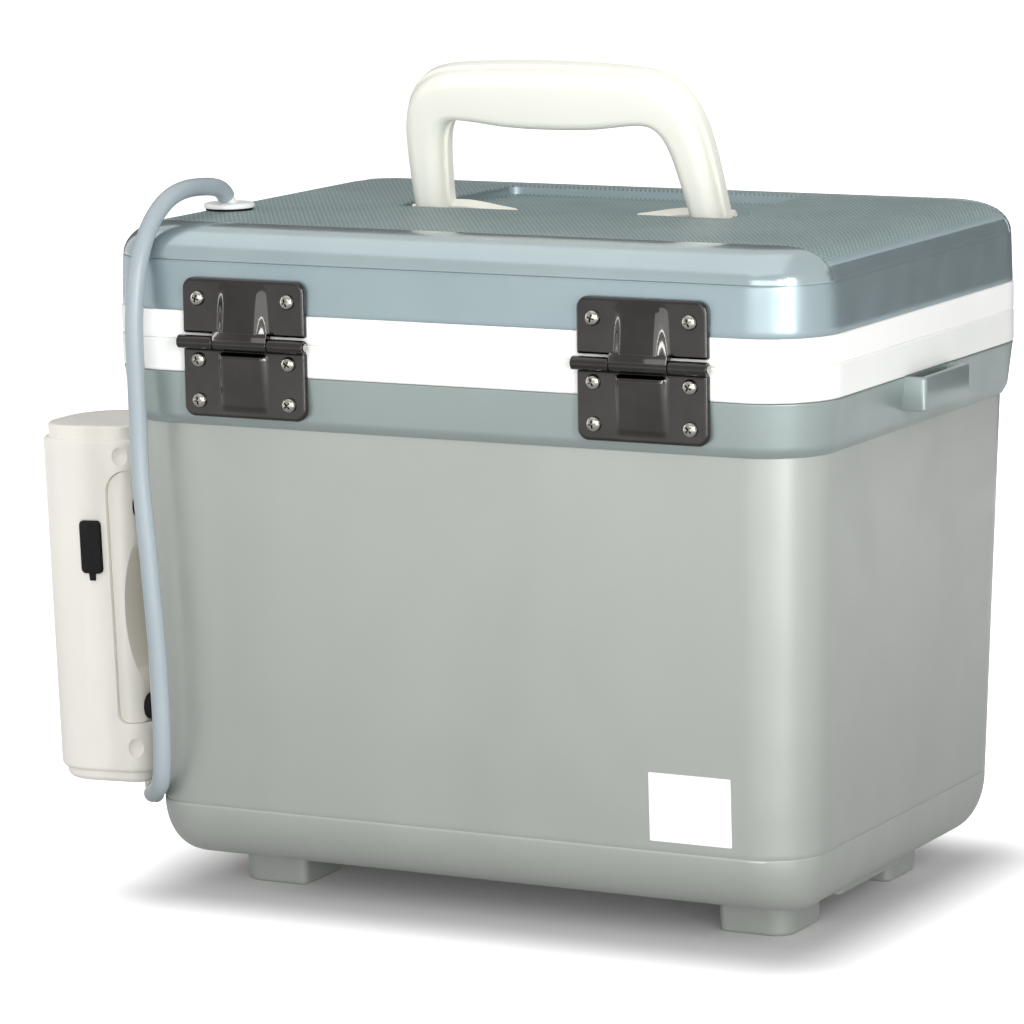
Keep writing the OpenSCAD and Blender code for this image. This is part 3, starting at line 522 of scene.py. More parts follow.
def softbox(name, place, width, height, radiance):
    """A rectangular lamp of a given brightness as the object sees it."""
    data = bpy.data.lights.new(name, "AREA")
    data.shape = "RECTANGLE"
    data.size, data.size_y = width, height
    data.energy = radiance * pi * width * height
    lamp = link(bpy.data.objects.new(name, data))
    lamp.location = place
    lamp.rotation_mode = "QUATERNION"
    lamp.rotation_quaternion = (Vector(LAMPS_AIM) - Vector(place)).to_track_quat("-Z", "Y")
    lamp.visible_camera = False


def make_world():
    """Soft grey light all round; white where the camera, gloss or clear pieces see the background."""
    world = bpy.data.worlds.new("studio")
    bpy.context.scene.world = world
    world.use_nodes = True
    tree = world.node_tree
    background = tree.nodes["Background"]
    background.inputs["Color"].default_value = WHITE
    background.inputs["Strength"].default_value = WORLD_STRENGTH
    white = add_node(tree, "Background", {"Color": WHITE, "Strength": 1.0})
    rays = add_node(tree, "LightPath", {}).outputs
    seen = rays["Is Camera Ray"]
    for ray in ("Is Transmission Ray", "Is Glossy Ray"):
        seen = add_node(tree, "Math", {0: seen, 1: rays[ray]}, operation="MAXIMUM").outputs[0]
    mix = add_node(tree, "MixShader", {0: seen, 1: background.outputs[0], 2: white.outputs[0]})
    feed(tree, tree.nodes["World Output"].inputs["Surface"], mix.outputs[0])


# The floor's glow drops round the object's footprint: painted shade on the floor by the object, and in the
# floor that gloss reflects.
GLOW_BOX = (0.125, 0.085, 0)         # half size, in metres, of the box that the glow's distance is from
GLOW_RISE = (("Is Camera Ray", 0.002, 0.065), ("Is Glossy Ray", 0.02, 1.2))
GLOW_IN_PAINTED_SHADE = 0.04


def floor_glow_and_painted_shade(tree):
    """The floor's own light for camera and gloss: full away from the object, and little under and by it,
    which is painted shade round its footprint that deepens its shadow and darkens the floor in reflections.
    """
    output = add_node(tree, "TexCoord", {}).outputs["Object"]
    for operation, more in (("ABSOLUTE", {}), ("SUBTRACT", {1: GLOW_BOX}), ("MAXIMUM", {1: (0, 0, 0)})):
        step = add_node(tree, "VectorMath", {0: output, **more}, operation=operation)
        output = step.outputs["Vector"]
    away = add_node(tree, "VectorMath", {0: output}, operation="LENGTH").outputs["Value"]
    rays = add_node(tree, "LightPath", {}).outputs
    shares = []
    for ray, near, far in GLOW_RISE:
        ends = {"From Min": near, "From Max": far, "To Min": GLOW_IN_PAINTED_SHADE, "To Max": 1.0}
        rise = add_node(tree, "MapRange", {"Value": away, **ends}, interpolation_type="SMOOTHSTEP")
        share = {0: rays[ray], 1: rise.outputs["Result"]}
        shares.append(add_node(tree, "Math", share, operation="MULTIPLY").outputs[0])
    return add_node(tree, "Math", dict(enumerate(shares)), operation="ADD").outputs[0]


def card(name, corners, grey):
    """A flat dull card, with its material's node tree."""
    mesh = bpy.data.meshes.new(name)
    mesh.from_pydata(corners, [], [(0, 1, 2, 3)])
    material = bpy.data.materials.new(name)
    material.use_nodes = True
    shader = material.node_tree.nodes["Principled BSDF"]
    shader.inputs["Base Color"].default_value = (grey, grey, grey, 1)
    shader.inputs["Roughness"].default_value = 0.9
    mesh.materials.append(material)
    return link(bpy.data.objects.new(name, mesh)), material.node_tree


def make_floor(half=9.0):
    """A pale floor that keeps the object's shadow and is white where the camera sees it lit; its glow is
    cut round the object as painted shade.
    """
    corners = [(-half, -half, 0), (half, -half, 0), (half, half, 0), (-half, half, 0)]
    floor, tree = card("floor", corners, FLOOR_GREY)
    shader = tree.nodes["Principled BSDF"]
    shader.inputs["Specular IOR Level"].default_value = 0.0
    glow = add_node(tree, "Emission", {"Color": WHITE, "Strength": floor_glow_and_painted_shade(tree)})
    both = add_node(tree, "AddShader", {0: shader.outputs[0], 1: glow.outputs[0]})
    feed(tree, tree.nodes["Material Output"].inputs["Surface"], both.outputs[0])


def make_flag():
    """A dark card standing behind, which only gloss sees, so that pearl and metal have contrast."""
    corners = [(-1.6, 1.0, 0.01), (1.6, 1.0, 0.01), (1.6, 1.0, 1.0), (-1.6, 1.0, 1.0)]
    flag, _ = card("flag", corners, FLAG_GREY)
    for seen in ("visible_camera", "visible_diffuse", "visible_shadow", "visible_transmission"):
        setattr(flag, seen, False)


def make_stage():
    bpy.context.scene.view_settings.view_transform = "Standard"
    make_camera()
    make_world()
    make_floor()
    for name, lamp in LAMPS.items():
        softbox(name, *lamp)
    make_flag()


make_stage()


# ---- air line

# The outer hose's centre line as the CAD source lays it, in metres
HOSE_ROUTE = [(-0.127, y, z) for y, z in (
    (-0.0463, 0.2693), (-0.048, 0.271), (-0.0513, 0.2728), (-0.0564, 0.274), (-0.0625, 0.2747),
    (-0.0696, 0.2751), (-0.077, 0.275), (-0.0844, 0.274), (-0.0912, 0.2719), (-0.0974, 0.2686),
    (-0.1033, 0.264), (-0.1082, 0.258), (-0.1123, 0.2504), (-0.1151, 0.241), (-0.1166, 0.231),
    (-0.117, 0.221), (-0.1166, 0.21))]
HOSE_ROUTE += [
    (-0.1272, -0.1159, 0.198), (-0.1273, -0.1153, 0.186), (-0.1272, -0.115, 0.17),
    (-0.1262, -0.1146, 0.154), (-0.1252, -0.1142, 0.14), (-0.1243, -0.1138, 0.125),
    (-0.1233, -0.113, 0.106), (-0.1229, -0.112, 0.086), (-0.1233, -0.1108, 0.068),
    (-0.1248, -0.1088, 0.055), (-0.128, -0.105, 0.047), (-0.1342, -0.098, 0.0422),
    (-0.142, -0.088, 0.0384), (-0.149, -0.077, 0.0352), (-0.156, -0.065, 0.0322),
    (-0.163, -0.0525, 0.029), (-0.1695, -0.0415, 0.0259), (-0.176, -0.031, 0.0232),
    (-0.182, -0.0218, 0.0212), (-0.1866, -0.015, 0.0204)]

# The inner hose, from the grommet's shank down to the air stone
INNER_ROUTE = [(x, -0.044, z) for x, z in (
    (-0.127, 0.213), (-0.127, 0.202), (-0.126, 0.188), (-0.123, 0.171), (-0.1196, 0.154), (-0.117, 0.136),
    (-0.1154, 0.12), (-0.1146, 0.104), (-0.1142, 0.09), (-0.114, 0.079), (-0.114, 0.071))]

HOSE_D = 0.007


def tube(name, path, diameter, finish, sides=24):
    """A round tube along a path in metres, its rings carried along without twist."""
    points = [Vector(p) for p in path]
    side = Vector((1, 0, 0))
    verts = []
    for k, point in enumerate(points):
        along = (points[min(k + 1, len(points) - 1)] - points[max(k - 1, 0)]).normalized()
        side = (side - along * side.dot(along)).normalized()
        other = along.cross(side)
        verts += [(point + diameter / 2 * (side * cos(a) + other * sin(a))) / MM
                  for a in arc(0, 360, sides)[:-1]]
    return mesh_piece(name, verts, ring_faces(sides, len(points)), finish, sharp=50)


def make_hoses():
    path = catmull(HOSE_ROUTE, 6)
    hose = tube("air_hose_tube", path, HOSE_D, "hose_silicone")
    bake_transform(hose)
    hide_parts("air_hose")

    inner_path = catmull(INNER_ROUTE, 6)
    inner = tube("inner_hose_tube", inner_path, HOSE_D, "hose_silicone")
    put(inner, "lid", "hose_silicone", "inner_hose")


make_hoses()


# ---- box

def bottom_row(depth, angle):
    """A row of the rounding under the body, angle degrees below the parting line."""
    r, wide = BOTTOM_ROUND - depth, SIDE_ROUND - depth
    side = shell_inset(PARTING_Z) + depth
    turn = 1 - cos(radians(angle))
    z = PARTING_Z - r * sin(radians(angle))
    return [side + wide * turn, side + r * turn, z, concentric(side) - wide * 1.25 * turn]


def make_shell():
    line_depth, line_half = 0.16, 0.35
    side = shell_inset(PARTING_Z)
    rows = [bottom_row(0, a) for a in range(90, -1, -6)]
    rows += [[side, side, PARTING_Z + 1 - line_half, concentric(side)],
             [side + line_depth, side + line_depth, PARTING_Z + 1, concentric(side)],
             [side, side, PARTING_Z + 1 + line_half, concentric(side)]]
    rows += [even(shell_inset(z), z) for z in (PARTING_Z + 3, 60, 110, 160, SHELL_TOP_Z)]
    rows += [even(shell_inset(SHELL_TOP_Z) + WALL, SHELL_TOP_Z),
             even(shell_inset(PARTING_Z) + WALL, PARTING_Z + 1)]
    rows += [bottom_row(WALL, a) for a in (30, 60, 90)]
    shell = box_loft("outer_shell_body", rows, "body_pearl", sharp=30)
    feet = [make_foot(sx, sy) for sx in (-1, 1) for sy in (-1, 1)]
    ribs = [make_rib(s) for s in (-1, 1)]
    put(join("outer_shell_body", [shell, *feet, *ribs]), "box", "body_pearl", "outer_shell")


def make_foot(sx, sy):
    """A drafted foot; its outline repeats the corner of the box."""
    foot_x, foot_y = (88.8, 119), ((34.5, 67) if sy > 0 else (29.5, 62))
    top = BODY_BOTTOM_Z + 1.2
    rows = softened([[4.5, 0.05, 0], [1.4, 0.0, 0.8], [0.6, 1.1, 0.8], [0, top, 0]], steps=4)
    outer, inner = 9, 4
    radii = [outer if corner == (sx, sy) else inner for corner in ((1, 1), (-1, 1), (-1, -1), (1, -1))]
    x0, x1 = sorted(sx * x for x in foot_x)
    y0, y1 = sorted(sy * y for y in foot_y)
    rings = []
    for inset, z in rows:
        rings.append(level(rounded_rect(x0 + inset, x1 - inset, y0 + inset, y1 - inset,
                                        [max(r - inset, 0.5) for r in radii], steps=10, support=0), z))
    return loft(f"foot_{sx}_{sy}", rings, "body_pearl")


def make_rib(side):
    """The low ridge under the body between two feet."""
    x0, x1 = side * 124 - 2.5, side * 124 + 2.5
    low = BODY_BOTTOM_Z - 4.5
    rows = ((1.2, low), (0.35, low + 0.35), (0, low + 1.2), (0, BODY_BOTTOM_Z + 1))
    rings = [level(grown_rect(x0, x1, -31, 27, -inset, 2.4 - inset, 6), z) for inset, z in rows]
    return loft(f"rib_{side}", rings, "body_pearl")


def make_collar():
    lip = shell_inset(COLLAR_LOW_Z) - 0.05
    lip_top = shell_inset(SHELL_TOP_Z) - 0.05
    rows = [[lip, lip, COLLAR_LOW_Z, concentric(4.6), 0.2],
            [4.0, 3.6, COLLAR_LOW_Z, concentric(4), 0.5],
            [2.4, 1.7, COLLAR_LOW_Z + 3, concentric(2.2), 1.6],
            [0.5, 0.4, TRIM_LOW_Z - 2.5, RIM_CORNER, 1.2],
            [0.2, 0.2, TRIM_LOW_Z - 0.2, RIM_CORNER, 0.4],
            [1.2, 1.2, TRIM_LOW_Z - GAP, RIM_CORNER, 0.2],
            [3.45, 3.45, TRIM_LOW_Z - GAP, concentric(3.5), 0.2],
            [lip_top, lip_top, SHELL_TOP_Z, concentric(4), 0.2]]
    collar = box_loft("rim_collar_body", softened(rows, closed=True), "collar_pearl", closed=True)
    loops = [make_strap_loop(s) for s in (-1, 1)]
    put(join("rim_collar_body", [collar, *loops]), "box", "collar_pearl", "rim_collar")


def make_strap_loop(side):
    """The moulded loop on the side of the collar, open from top to bottom."""
    out, half, z0, bar = 8, 22, 196, 3
    z1 = TRIM_LOW_Z - 0.1

    def outline(grow):
        """The loop's plan from its root round the outside, then back along the slot."""
        r = 1.9
        outer = [(-2, half + grow)]
        outer += [(out - r + grow + r * sin(a), half - r + grow + r * cos(a)) for a in arc(0, 90, 5)]
        wide, deep = half - bar - grow, out - bar - grow
        slot = [(-2, -wide), (deep, -wide), (deep, wide), (-2, wide)]
        return outer + [(x, -y) for x, y in reversed(outer)] + slot

    rows = [(-0.9, z0 + 0.02), (-0.35, z0 + 0.2), (0, z0 + 0.9),
            (0, z1 - 0.7), (-0.3, z1 - 0.15), (-0.7, z1)]
    rings = [[(side * (RIM_X + x), y, z) for x, y in outline(grow)] for grow, z in rows]
    return loft(f"strap_loop_{side}", rings, "collar_pearl", sharp=30)


def make_tub():
    mouth, floor_inset, floor_z = 18, 26, 30
    rows = [even(floor_inset + 8, floor_z - WALL), even(floor_inset + 1, floor_z - 0.5, 1),
            even(floor_inset - WALL, floor_z + 6, 1), even(mouth - WALL + 0.4, TRIM_LOW_Z - 3, 1),
            even(SHELL_INSET_TOP + WALL + 1, TRIM_LOW_Z + GAP, 0.3), *trim_rows(TRIM_LOW_Z + GAP, SEAM_Z),
            even(mouth - 0.8, SEAM_Z, 0.6), even(mouth, SEAM_Z - 1, 1.5),
            even(floor_inset - 0.2, floor_z + 8, 6), even(floor_inset + 2, floor_z + 2, 4),
            even(floor_inset + 8, floor_z)]
    tub = box_loft("inner_tub_body", softened(rows), "tub_white")
    put(tub, "box", "tub_white", "inner_tub")


def make_sticker():
    """A bare paper rectangle low on the hinge-side wall."""
    x0, x1, z0, z1, corner, thick = 79.2, 112.6, 42, 68, 0.5, 0.12
    lean = math.atan(WALL_DRAFT)

    def on_wall(x, z, out):
        return (x, -(RIM_Y - shell_inset(z)) - out * cos(lean), z - out * sin(lean))

    outline = grown_rect(x0, x1, z0, z1, 0, corner, 4)
    rings = [[on_wall(x, z, out) for x, z in outline] for out in (0.0, thick)]
    sticker = loft("blank_sticker", rings, "paper_white")
    put(sticker, "box", "trim_white")


make_shell()
make_collar()
make_tub()
make_sticker()


# ---- lid

SHOULDER_IN = (1.1, 2.4)             # where the shoulder starts at the groove, in from the rim
CREASE_X, CREASE_Y = 16.1, 22.4      # where it meets the textured top
SHOULDER_H = 12
SHOULDER_STEPS = (3, 6, 12, 20, 28, 36, 44, 52, 60, 68, 76, 82, 87, 90)     # degrees up from the groove
BAND_Y = RIM_Y - CREASE_Y - 0.8      # the glossy bands lie beyond this, on the hinge and latch sides
BAND_PROUD = 0.42
GROMMET = (-127.0, -44.0)


def shoulder_row(angle, proud=0.0):
    """A row of the lid's shoulder, angle degrees up from the groove."""
    c, s = cos(radians(angle)), sin(radians(angle))
    return [CREASE_X - (CREASE_X - SHOULDER_IN[0] + proud * 0.25) * c,
            CREASE_Y - (CREASE_Y - SHOULDER_IN[1] + proud) * c,
            GROOVE_Z + (SHOULDER_H + proud) * s, RIM_CORNER - 2 - 12 * (1 - c)]


def make_lid_cover():
    rows = [[8, 8, TRIM_HIGH_Z + 1, 20], [0.8, 0.8, TRIM_HIGH_Z + GAP, RIM_CORNER],
            [0.42, 0.42, TRIM_HIGH_Z + 0.1, RIM_CORNER], [0.3, 0.3, TRIM_HIGH_Z + 0.4, RIM_CORNER]]
    for z in (TRIM_HIGH_Z + 3, TRIM_HIGH_Z + 8, TRIM_HIGH_Z + 13, GROOVE_Z - 1.2):
        share = (z - TRIM_HIGH_Z) / (GROOVE_Z - TRIM_HIGH_Z)
        rows.append([0.3 + 0.7 * share, 0.3 + 0.7 * share, z, RIM_CORNER - share])
    rows += [[1.0, 1.0, GROOVE_Z - 0.5, RIM_CORNER - 1], [1.05, 1.35, GROOVE_Z - 0.1, RIM_CORNER - 1.4],
             [1.1, 2.3, GROOVE_Z, RIM_CORNER - 1.9]]
    rows += [shoulder_row(a) for a in (0, *SHOULDER_STEPS)]
    rows += [[CREASE_X + more, CREASE_Y + more, GROOVE_Z + z, r] for more, z, r in
             ((0.45, 12.02, 12.6), (0.9, 12.1, 12.2), (1.6, 12.3, 11.6), (3, LID_TOP_Z - GROOVE_Z, 10.6))]
    lid = box_loft("lid_cover_body", rows, "lid_pearl")
    carve(lid, [pocket_cutter(), *(well_cutter(s) for s in (-1, 1))], sharp=40)
    lid.data.materials.append(finishes["lid_mesh_texture"])
    for face in lid.data.polygons:
        centre, normal = face.center / MM, face.normal
        if normal.z > 0.3 and abs(centre.y) < BAND_Y + 0.4 and centre.z > TEXTURE_LOW_Z - 3:
            face.material_index = 1
    put(lid, "lid", "lid_pearl", "lid_cover")


def make_lid_band(side):
    """The glossy band over the shoulder on the hinge or latch side, a little proud of the lid."""
    rows = [[CREASE_X, CREASE_Y, GROOVE_Z + 0.25, 12]]
    rows += [shoulder_row(a, BAND_PROUD) for a in (1.2, *SHOULDER_STEPS)]
    rows += [[CREASE_X + 6, CREASE_Y + 6, GROOVE_Z + SHOULDER_H + BAND_PROUD, 7]]
    band = box_loft(f"lid_band_{side}", rows, "lid_gloss")
    y0, y1 = sorted((side * BAND_Y, side * (RIM_Y + 10)))
    sides = ((200, y1), (-200, y1), (-200, y0), (200, y0))
    block = [level(sides, z) for z in (GROOVE_Z - 5, LID_TOP_Z + 5)]
    carve(band, [loft("band_block", block, "lid_gloss")], "INTERSECT", sharp=40, bevel=0.3)
    put(band, "lid", "lid_pearl")


def pocket_outline(grow):
    """The recess for the folded handle: wider at the pivots, narrower towards the latches."""
    near, far, r = (-8 - grow, 69.5 + grow), (77 + grow, 65 + grow), 5 + grow
    lean = math.degrees(math.atan2(near[1] - far[1], far[0] - near[0]))
    right = [(near[1], near[0])]
    right += [(far[1] - r + r * cos(a), far[0] - r + r * sin(a)) for a in arc(lean, 90, 10)]
    return right + [(-x, y) for x, y in reversed(right)]


def pocket_cutter():
    floor_z = LID_TOP_Z - 4.5
    rows = [(-0.9, floor_z), (-0.25, floor_z + 0.25), (0, floor_z + 0.9), (0, LID_TOP_Z - 0.9),
            (0.25, LID_TOP_Z - 0.25), (0.9, LID_TOP_Z + 0.01), (0.9, LID_TOP_Z + 5)]
    return loft("pocket_cutter", [level(pocket_outline(grow), z) for grow, z in rows], "lid_pearl")


def well_cutter(side):
    x0, x1 = sorted((side * 45.5, side * 72))
    floor_z = 255.5
    rows = [(-0.8, floor_z), (0, floor_z + 0.8), (0, LID_TOP_Z - 0.6),
            (0.5, LID_TOP_Z + GAP), (0.5, LID_TOP_Z + 6)]
    rings = [level(grown_rect(x0, x1, -9.5, 15.5, grow, 1.6 + max(grow, 0), 5), z) for grow, z in rows]
    return loft(f"well_cutter_{side}", rings, "lid_pearl")


def make_lid_liner():
    plug, plug_z = 19.5, PLUG_LOW_Z
    rows = [even(plug + 8, plug_z), even(plug + 2, plug_z, 1), even(plug, plug_z + 2, 1),
            even(plug, SEAM_Z + GAP, 0.2), even(13, SEAM_Z + GAP, 0.2), even(13, SEAM_Z + 1.8, 0.2),
            even(8, SEAM_Z + 1.8, 0.2), even(8, SEAM_Z + GAP, 0.2), *trim_rows(SEAM_Z + GAP, TRIM_HIGH_Z),
            even(3, TRIM_HIGH_Z, 0.2), even(3, SEAM_Z + 4.3, 0.2), even(22, SEAM_Z + 4.3, 0.2),
            even(22, plug_z + WALL)]
    liner = box_loft("lid_liner_body", softened(rows), "trim_white")
    put(liner, "lid", "trim_white", "lid_liner")


def turned(name, profile, finish, place=(0, 0, 0), matrix=IDENTITY, steps=48, sharp=35):
    """A solid of revolution about Z from [radius, height] rows, its ends closed on the axis."""
    turn = arc(0, 360, steps)[:-1]
    rings = [[(place[0] + r * cos(a), place[1] + r * sin(a), place[2] + z) for a in turn]
             for r, z in profile]
    return loft(name, rings, finish, sharp=sharp, matrix=matrix)


def make_grommet():
    rows = softened([[0.5, LID_TOP_Z + 0.9, 0], [10, LID_TOP_Z + 0.9, 0.3], [10, LID_TOP_Z + 2.3, 0.9],
                     [8.4, LID_TOP_Z + 2.9, 1.2], [4.6, LID_TOP_Z + 3.0, 0.6], [3.9, LID_TOP_Z + 2.5, 0.3],
                     [0.5, LID_TOP_Z + 2.5, 0]])
    flange = turned("grommet_flange", rows, "grommet_white", (*GROMMET, 0))
    shank = turned("grommet_shank", [[3.4, 213], [3.4, LID_TOP_Z + 1]], "grommet_white", (*GROMMET, 0))
    lean = Matrix.Translation((*GROMMET, LID_TOP_Z + 2.8)) @ spin(44, "X")
    spigot = turned("grommet_spigot", [[2.9, -1.5], [2.9, 6]], "grommet_white", matrix=lean)
    put(join("hose_grommet_body", [flange, shank, spigot]), "lid", "grommet_white", "hose_grommet")


make_lid_cover()
make_lid_liner()
make_grommet()
for side in (-1, 1):
    make_lid_band(side)


# ---- hinges and their screws

HINGE_X = (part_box("hinge_upper_leaf_right")[0].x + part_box("hinge_upper_leaf_right")[1].x) / 2 / MM
LEAF_HALF = 26.5
LEAF_DEPTH = 2.2
PIN_OUT, PIN_Z, KNUCKLE_R, SHEET = 3.5, SEAM_Z - 0.3, 2.6, 1.05
SCREW_X = 19.5
UPPER_SCREW_Z = (237.8,)
LOWER_SCREW_Z = (214.3, 198.8)


def hinge_wall(x):
    """Matrix for a piece drawn as (across, up, outward) on the hinge-side wall."""
    return Matrix(((1, 0, 0, x), (0, 0, -1, -RIM_Y), (0, 1, 0, 0), (0, 0, 0, 1)))


def inside_rect(x, z, half, z0, z1, r_low, r_high):
    """Distance of a point inside a plate's edge, whose lower and upper corners have their own radii."""
    r = r_high if z > (z0 + z1) / 2 else r_low
    dx, dz = half - abs(x), min(z - z0, z1 - z)
    if dx < r and dz < r:
        return r - math.hypot(r - dx, r - dz)
    return min(dx, dz)


def row_half_width(z, half, z0, z1, r_low, r_high):
    """Half the width of a plate with such corners at a height."""
    r = r_high if z > (z0 + z1) / 2 else r_low
    dz = min(z - z0, z1 - z)
    if dz >= r:
        return half
    return half - r + math.sqrt(max(r * r - (r - dz) ** 2, 0))


def spaced(low, high, edge_steps, inner_step):
    """Values from low to high, close together near both ends."""
    left = [low + e for e in edge_steps]
    right = [high - e for e in reversed(edge_steps)]
    count = max(int((right[0] - left[-1]) / inner_step), 1)
    middle = [left[-1] + (right[0] - left[-1]) * k / count for k in range(1, count)]
    return left + middle + right


def pressed_leaf(name, plate, raise_at, matrix):
    """A pressed plate as a fine grid: rounded edge, then whatever raise_at(x, z) adds.

    The plate is its half width, its two heights and the radii of its low and high corners.
    """
    half, z0, z1, _, _ = plate
    edge = [0, 0.08, 0.2, 0.4, 0.65, 0.95, 1.3, 1.7, 2.3, 3.0, 3.8]
    edge_round = 1.25
    rows = spaced(z0, z1, edge, 0.55)
    columns = spaced(-1, 1, [e / half for e in edge], 0.55 / half)
    verts = []
    for z in rows:
        width = row_half_width(z, *plate)
        for t in columns:
            x = t * width
            deep = inside_rect(x, z, *plate)
            fall = max(edge_round - deep, 0) / edge_round
            height = LEAF_DEPTH - edge_round * (1 - math.sqrt(max(1 - fall * fall, 0)))
            verts.append((x, z, height + raise_at(x, z) * smoothstep(deep, 0, 1.0)))
    n, m = len(columns), len(rows)
    faces = [(j * n + i, j * n + i + 1, (j + 1) * n + i + 1, (j + 1) * n + i)
             for j in range(m - 1) for i in range(n - 1)]
    rim = list(range(n)) + [j * n + n - 1 for j in range(1, m)]
    rim += [(m - 1) * n + i for i in range(n - 2, -1, -1)] + [j * n for j in range(m - 2, 0, -1)]
    base = len(verts)
    verts += [(verts[i][0], verts[i][1], 0.02) for i in rim]
    count = len(rim)
    faces += [(rim[k], base + k, base + (k + 1) % count, rim[(k + 1) % count]) for k in range(count)]
    faces.append(tuple(base + k for k in range(count)))
    return mesh_piece(name, verts, faces, "dark_nickel", sharp=50, matrix=matrix)


def upper_swelling(x, z):
    """The raised middle of the lid leaf, which grows towards the knuckle."""
    grow = smoothstep(z, 244.4, 240.0) * 0.9 + 2.7 * min(max((242.4 - z) / 17.4, 0), 1)
    lean = 0.4 + (242 - z) * 0.03
    inner, outer = 5.6 + lean, 11.2 + lean * 0.6
    return grow * smoothstep(abs(x), outer, inner)


def lower_swelling(x, z):
    """The raised middle of the box leaf, square under the knuckle and fading downwards."""
    grow = 0.35 * smoothstep(z, 194.6, 197.5) + 1.75 * min(max((z - 196.0) / 20.0, 0), 1)
    return grow * smoothstep(abs(x), 10.9, 8.1) * smoothstep(z, 217.6, 216.2)


def roll(name, x0, x1, start, end, matrix):
    """Part of a rolled sheet about the pin, from start to end degrees, thick as the sheet."""
    inner, edge = KNUCKLE_R - SHEET, 0.25
    turns = arc(start, end, max(int((end - start) / 8), 6))
    rings = []
    for x, s in ((x0, edge), (x0 + edge, 0), (x1 - edge, 0), (x1, edge)):
        section = [(KNUCKLE_R - s, a) for a in turns] + [(inner + s, a) for a in reversed(turns)]
        rings.append([(x, PIN_Z + r * sin(a), PIN_OUT + r * cos(a)) for r, a in section])
    return loft(name, rings, "dark_nickel", sharp=40, matrix=matrix)


def make_hinge(side, label):
    wall = hinge_wall(side * HINGE_X)
    knuckle_half, gap, overhang = 11.7, 0.35, 0.8

    upper = pressed_leaf(f"upper_leaf_{label}", (LEAF_HALF, 224.3, 245.6, 1.0, 4.5), upper_swelling, wall)
    curl = roll(f"upper_curl_{label}", -knuckle_half, knuckle_half, -200, 62, wall)
    bridge = curl_bridge(f"upper_bridge_{label}", knuckle_half, wall)
    piece = join(f"hinge_upper_leaf_{label}_body", [upper, curl, bridge])
    put(piece, "lid", "dark_nickel", f"hinge_upper_leaf_{label}")

    parts = [pressed_leaf(f"lower_leaf_{label}", (LEAF_HALF, 192.5, 218.9, 4.5, 1.2), lower_swelling, wall)]
    for s in (-1, 1):
        x0, x1 = sorted((s * (knuckle_half + gap), s * (LEAF_HALF + overhang)))
        parts.append(roll(f"lower_curl_{label}_{s}", x0, x1, -118, 205, wall))
    piece = join(f"hinge_lower_leaf_{label}_body", parts)
    put(piece, "box", "dark_nickel", f"hinge_lower_leaf_{label}")

    put_screws(f"lid_screws_{label}", wall, UPPER_SCREW_Z, "lid")
    put_screws(f"box_screws_{label}", wall, LOWER_SCREW_Z, "box")


def curl_bridge(name, half, matrix):
    """The sheet between the swelling's lower edge and the roll round the pin."""
    front = PIN_OUT + KNUCKLE_R
    profile = softened([[PIN_Z + 4.5, LEAF_DEPTH + 3.0, 0], [PIN_Z + 2.4, front - 0.12, 1.6],
                        [PIN_Z + 0.6, front, 0.8], [PIN_Z + 0.4, PIN_OUT + 1.6, 0.2],
                        [PIN_Z + 2.4, LEAF_DEPTH, 0.3], [PIN_Z + 4.5, LEAF_DEPTH - 1, 0]], steps=4)
    rings = []
    for x, inset in ((-half, 0.4), (-half + 0.5, 0), (half - 0.5, 0), (half, 0.4)):
        rings.append([(x, z, out - inset * (out > LEAF_DEPTH)) for z, out in profile])
    return loft(name, rings, "dark_nickel", sharp=40, matrix=matrix)


def screw_mesh():
    """A pan head with a cross recess, drawn at the origin with its head up."""
    rows = softened([[0.3, -3, 0], [1.5, -3, 0.1], [1.5, 0, 0.1], [2.9, 0.02, 0.1], [2.9, 0.85, 0.5],
                     [2.2, 1.65, 0.9], [0.9, 2.0, 0.6], [0.3, 2.02, 0]])
    head = turned("screw", rows, "screw_chrome", steps=40, sharp=40)
    arms = []
    for turn in (0, 90):
        rings = [level(((x, y), (-x, y), (-x, -y), (x, -y)), z)
                 for z, x, y in ((0.7, 0.75, 0.16), (1.5, 1.35, 0.3), (2.4, 1.75, 0.4))]
        arms.append(loft(f"cross_{turn}", rings, "screw_chrome", matrix=spin(turn, "Z")))
    carve(head, arms, sharp=32)
    return head


def put_screws(name, wall, heights, body):
    """Screws in a plate, each turned by its own angle, joined into one piece."""
    copies = []
    for k, (x, z) in enumerate((x, z) for z in heights for x in (-SCREW_X, SCREW_X)):
        turn = 23 + 37 * k + (50 if body == "lid" else 0)
        place = wall @ Matrix.Translation((x, z, LEAF_DEPTH)) @ spin(turn, "Z")
        copy = link(bpy.data.objects.new(f"{name}_{k}", screw_source.data.copy()))
        copy.data.transform(Matrix.Scale(1 / MM, 4))
        copy.data.transform(Matrix.Scale(MM, 4) @ place)
        copies.append(copy)
    put(join(name, copies), body, "screw_chrome")


screw_source = screw_mesh()
for side, label in ((-1, "left"), (1, "right")):
    make_hinge(side, label)
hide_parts("lid_hinge_screws")
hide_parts("box_hinge_screws")
bpy.data.objects.remove(screw_source)


# ---- carry handle

PIVOT_Y, PIVOT_Z = 5.5, 261.3
HANDLE_LEAN = 20
HANDLE_SPLIT, HANDLE_FACE, HANDLE_BACK = -4.5, -12.0, 1.5
HANDLE_LEN = 65.7
BAIL = [  # outer x, outer height, inner x, inner height, from the foot to the middle
    (67.4, -1, 52.2, -1), (67, 8, 51.6, 8), (66.4, 21, 50.2, 19), (65.4, 33, 48.4, 30),
    (63.8, 42.5, 46.2, 37), (60.4, 51.5, 43.4, 40.6), (53.8, 59.2, 39.4, 41.8),
    (43, HANDLE_LEN - 2.1, 32.4, 41.2), (23, HANDLE_LEN - 0.5, 18, 39.2), (0, HANDLE_LEN, 0, 38.6)]


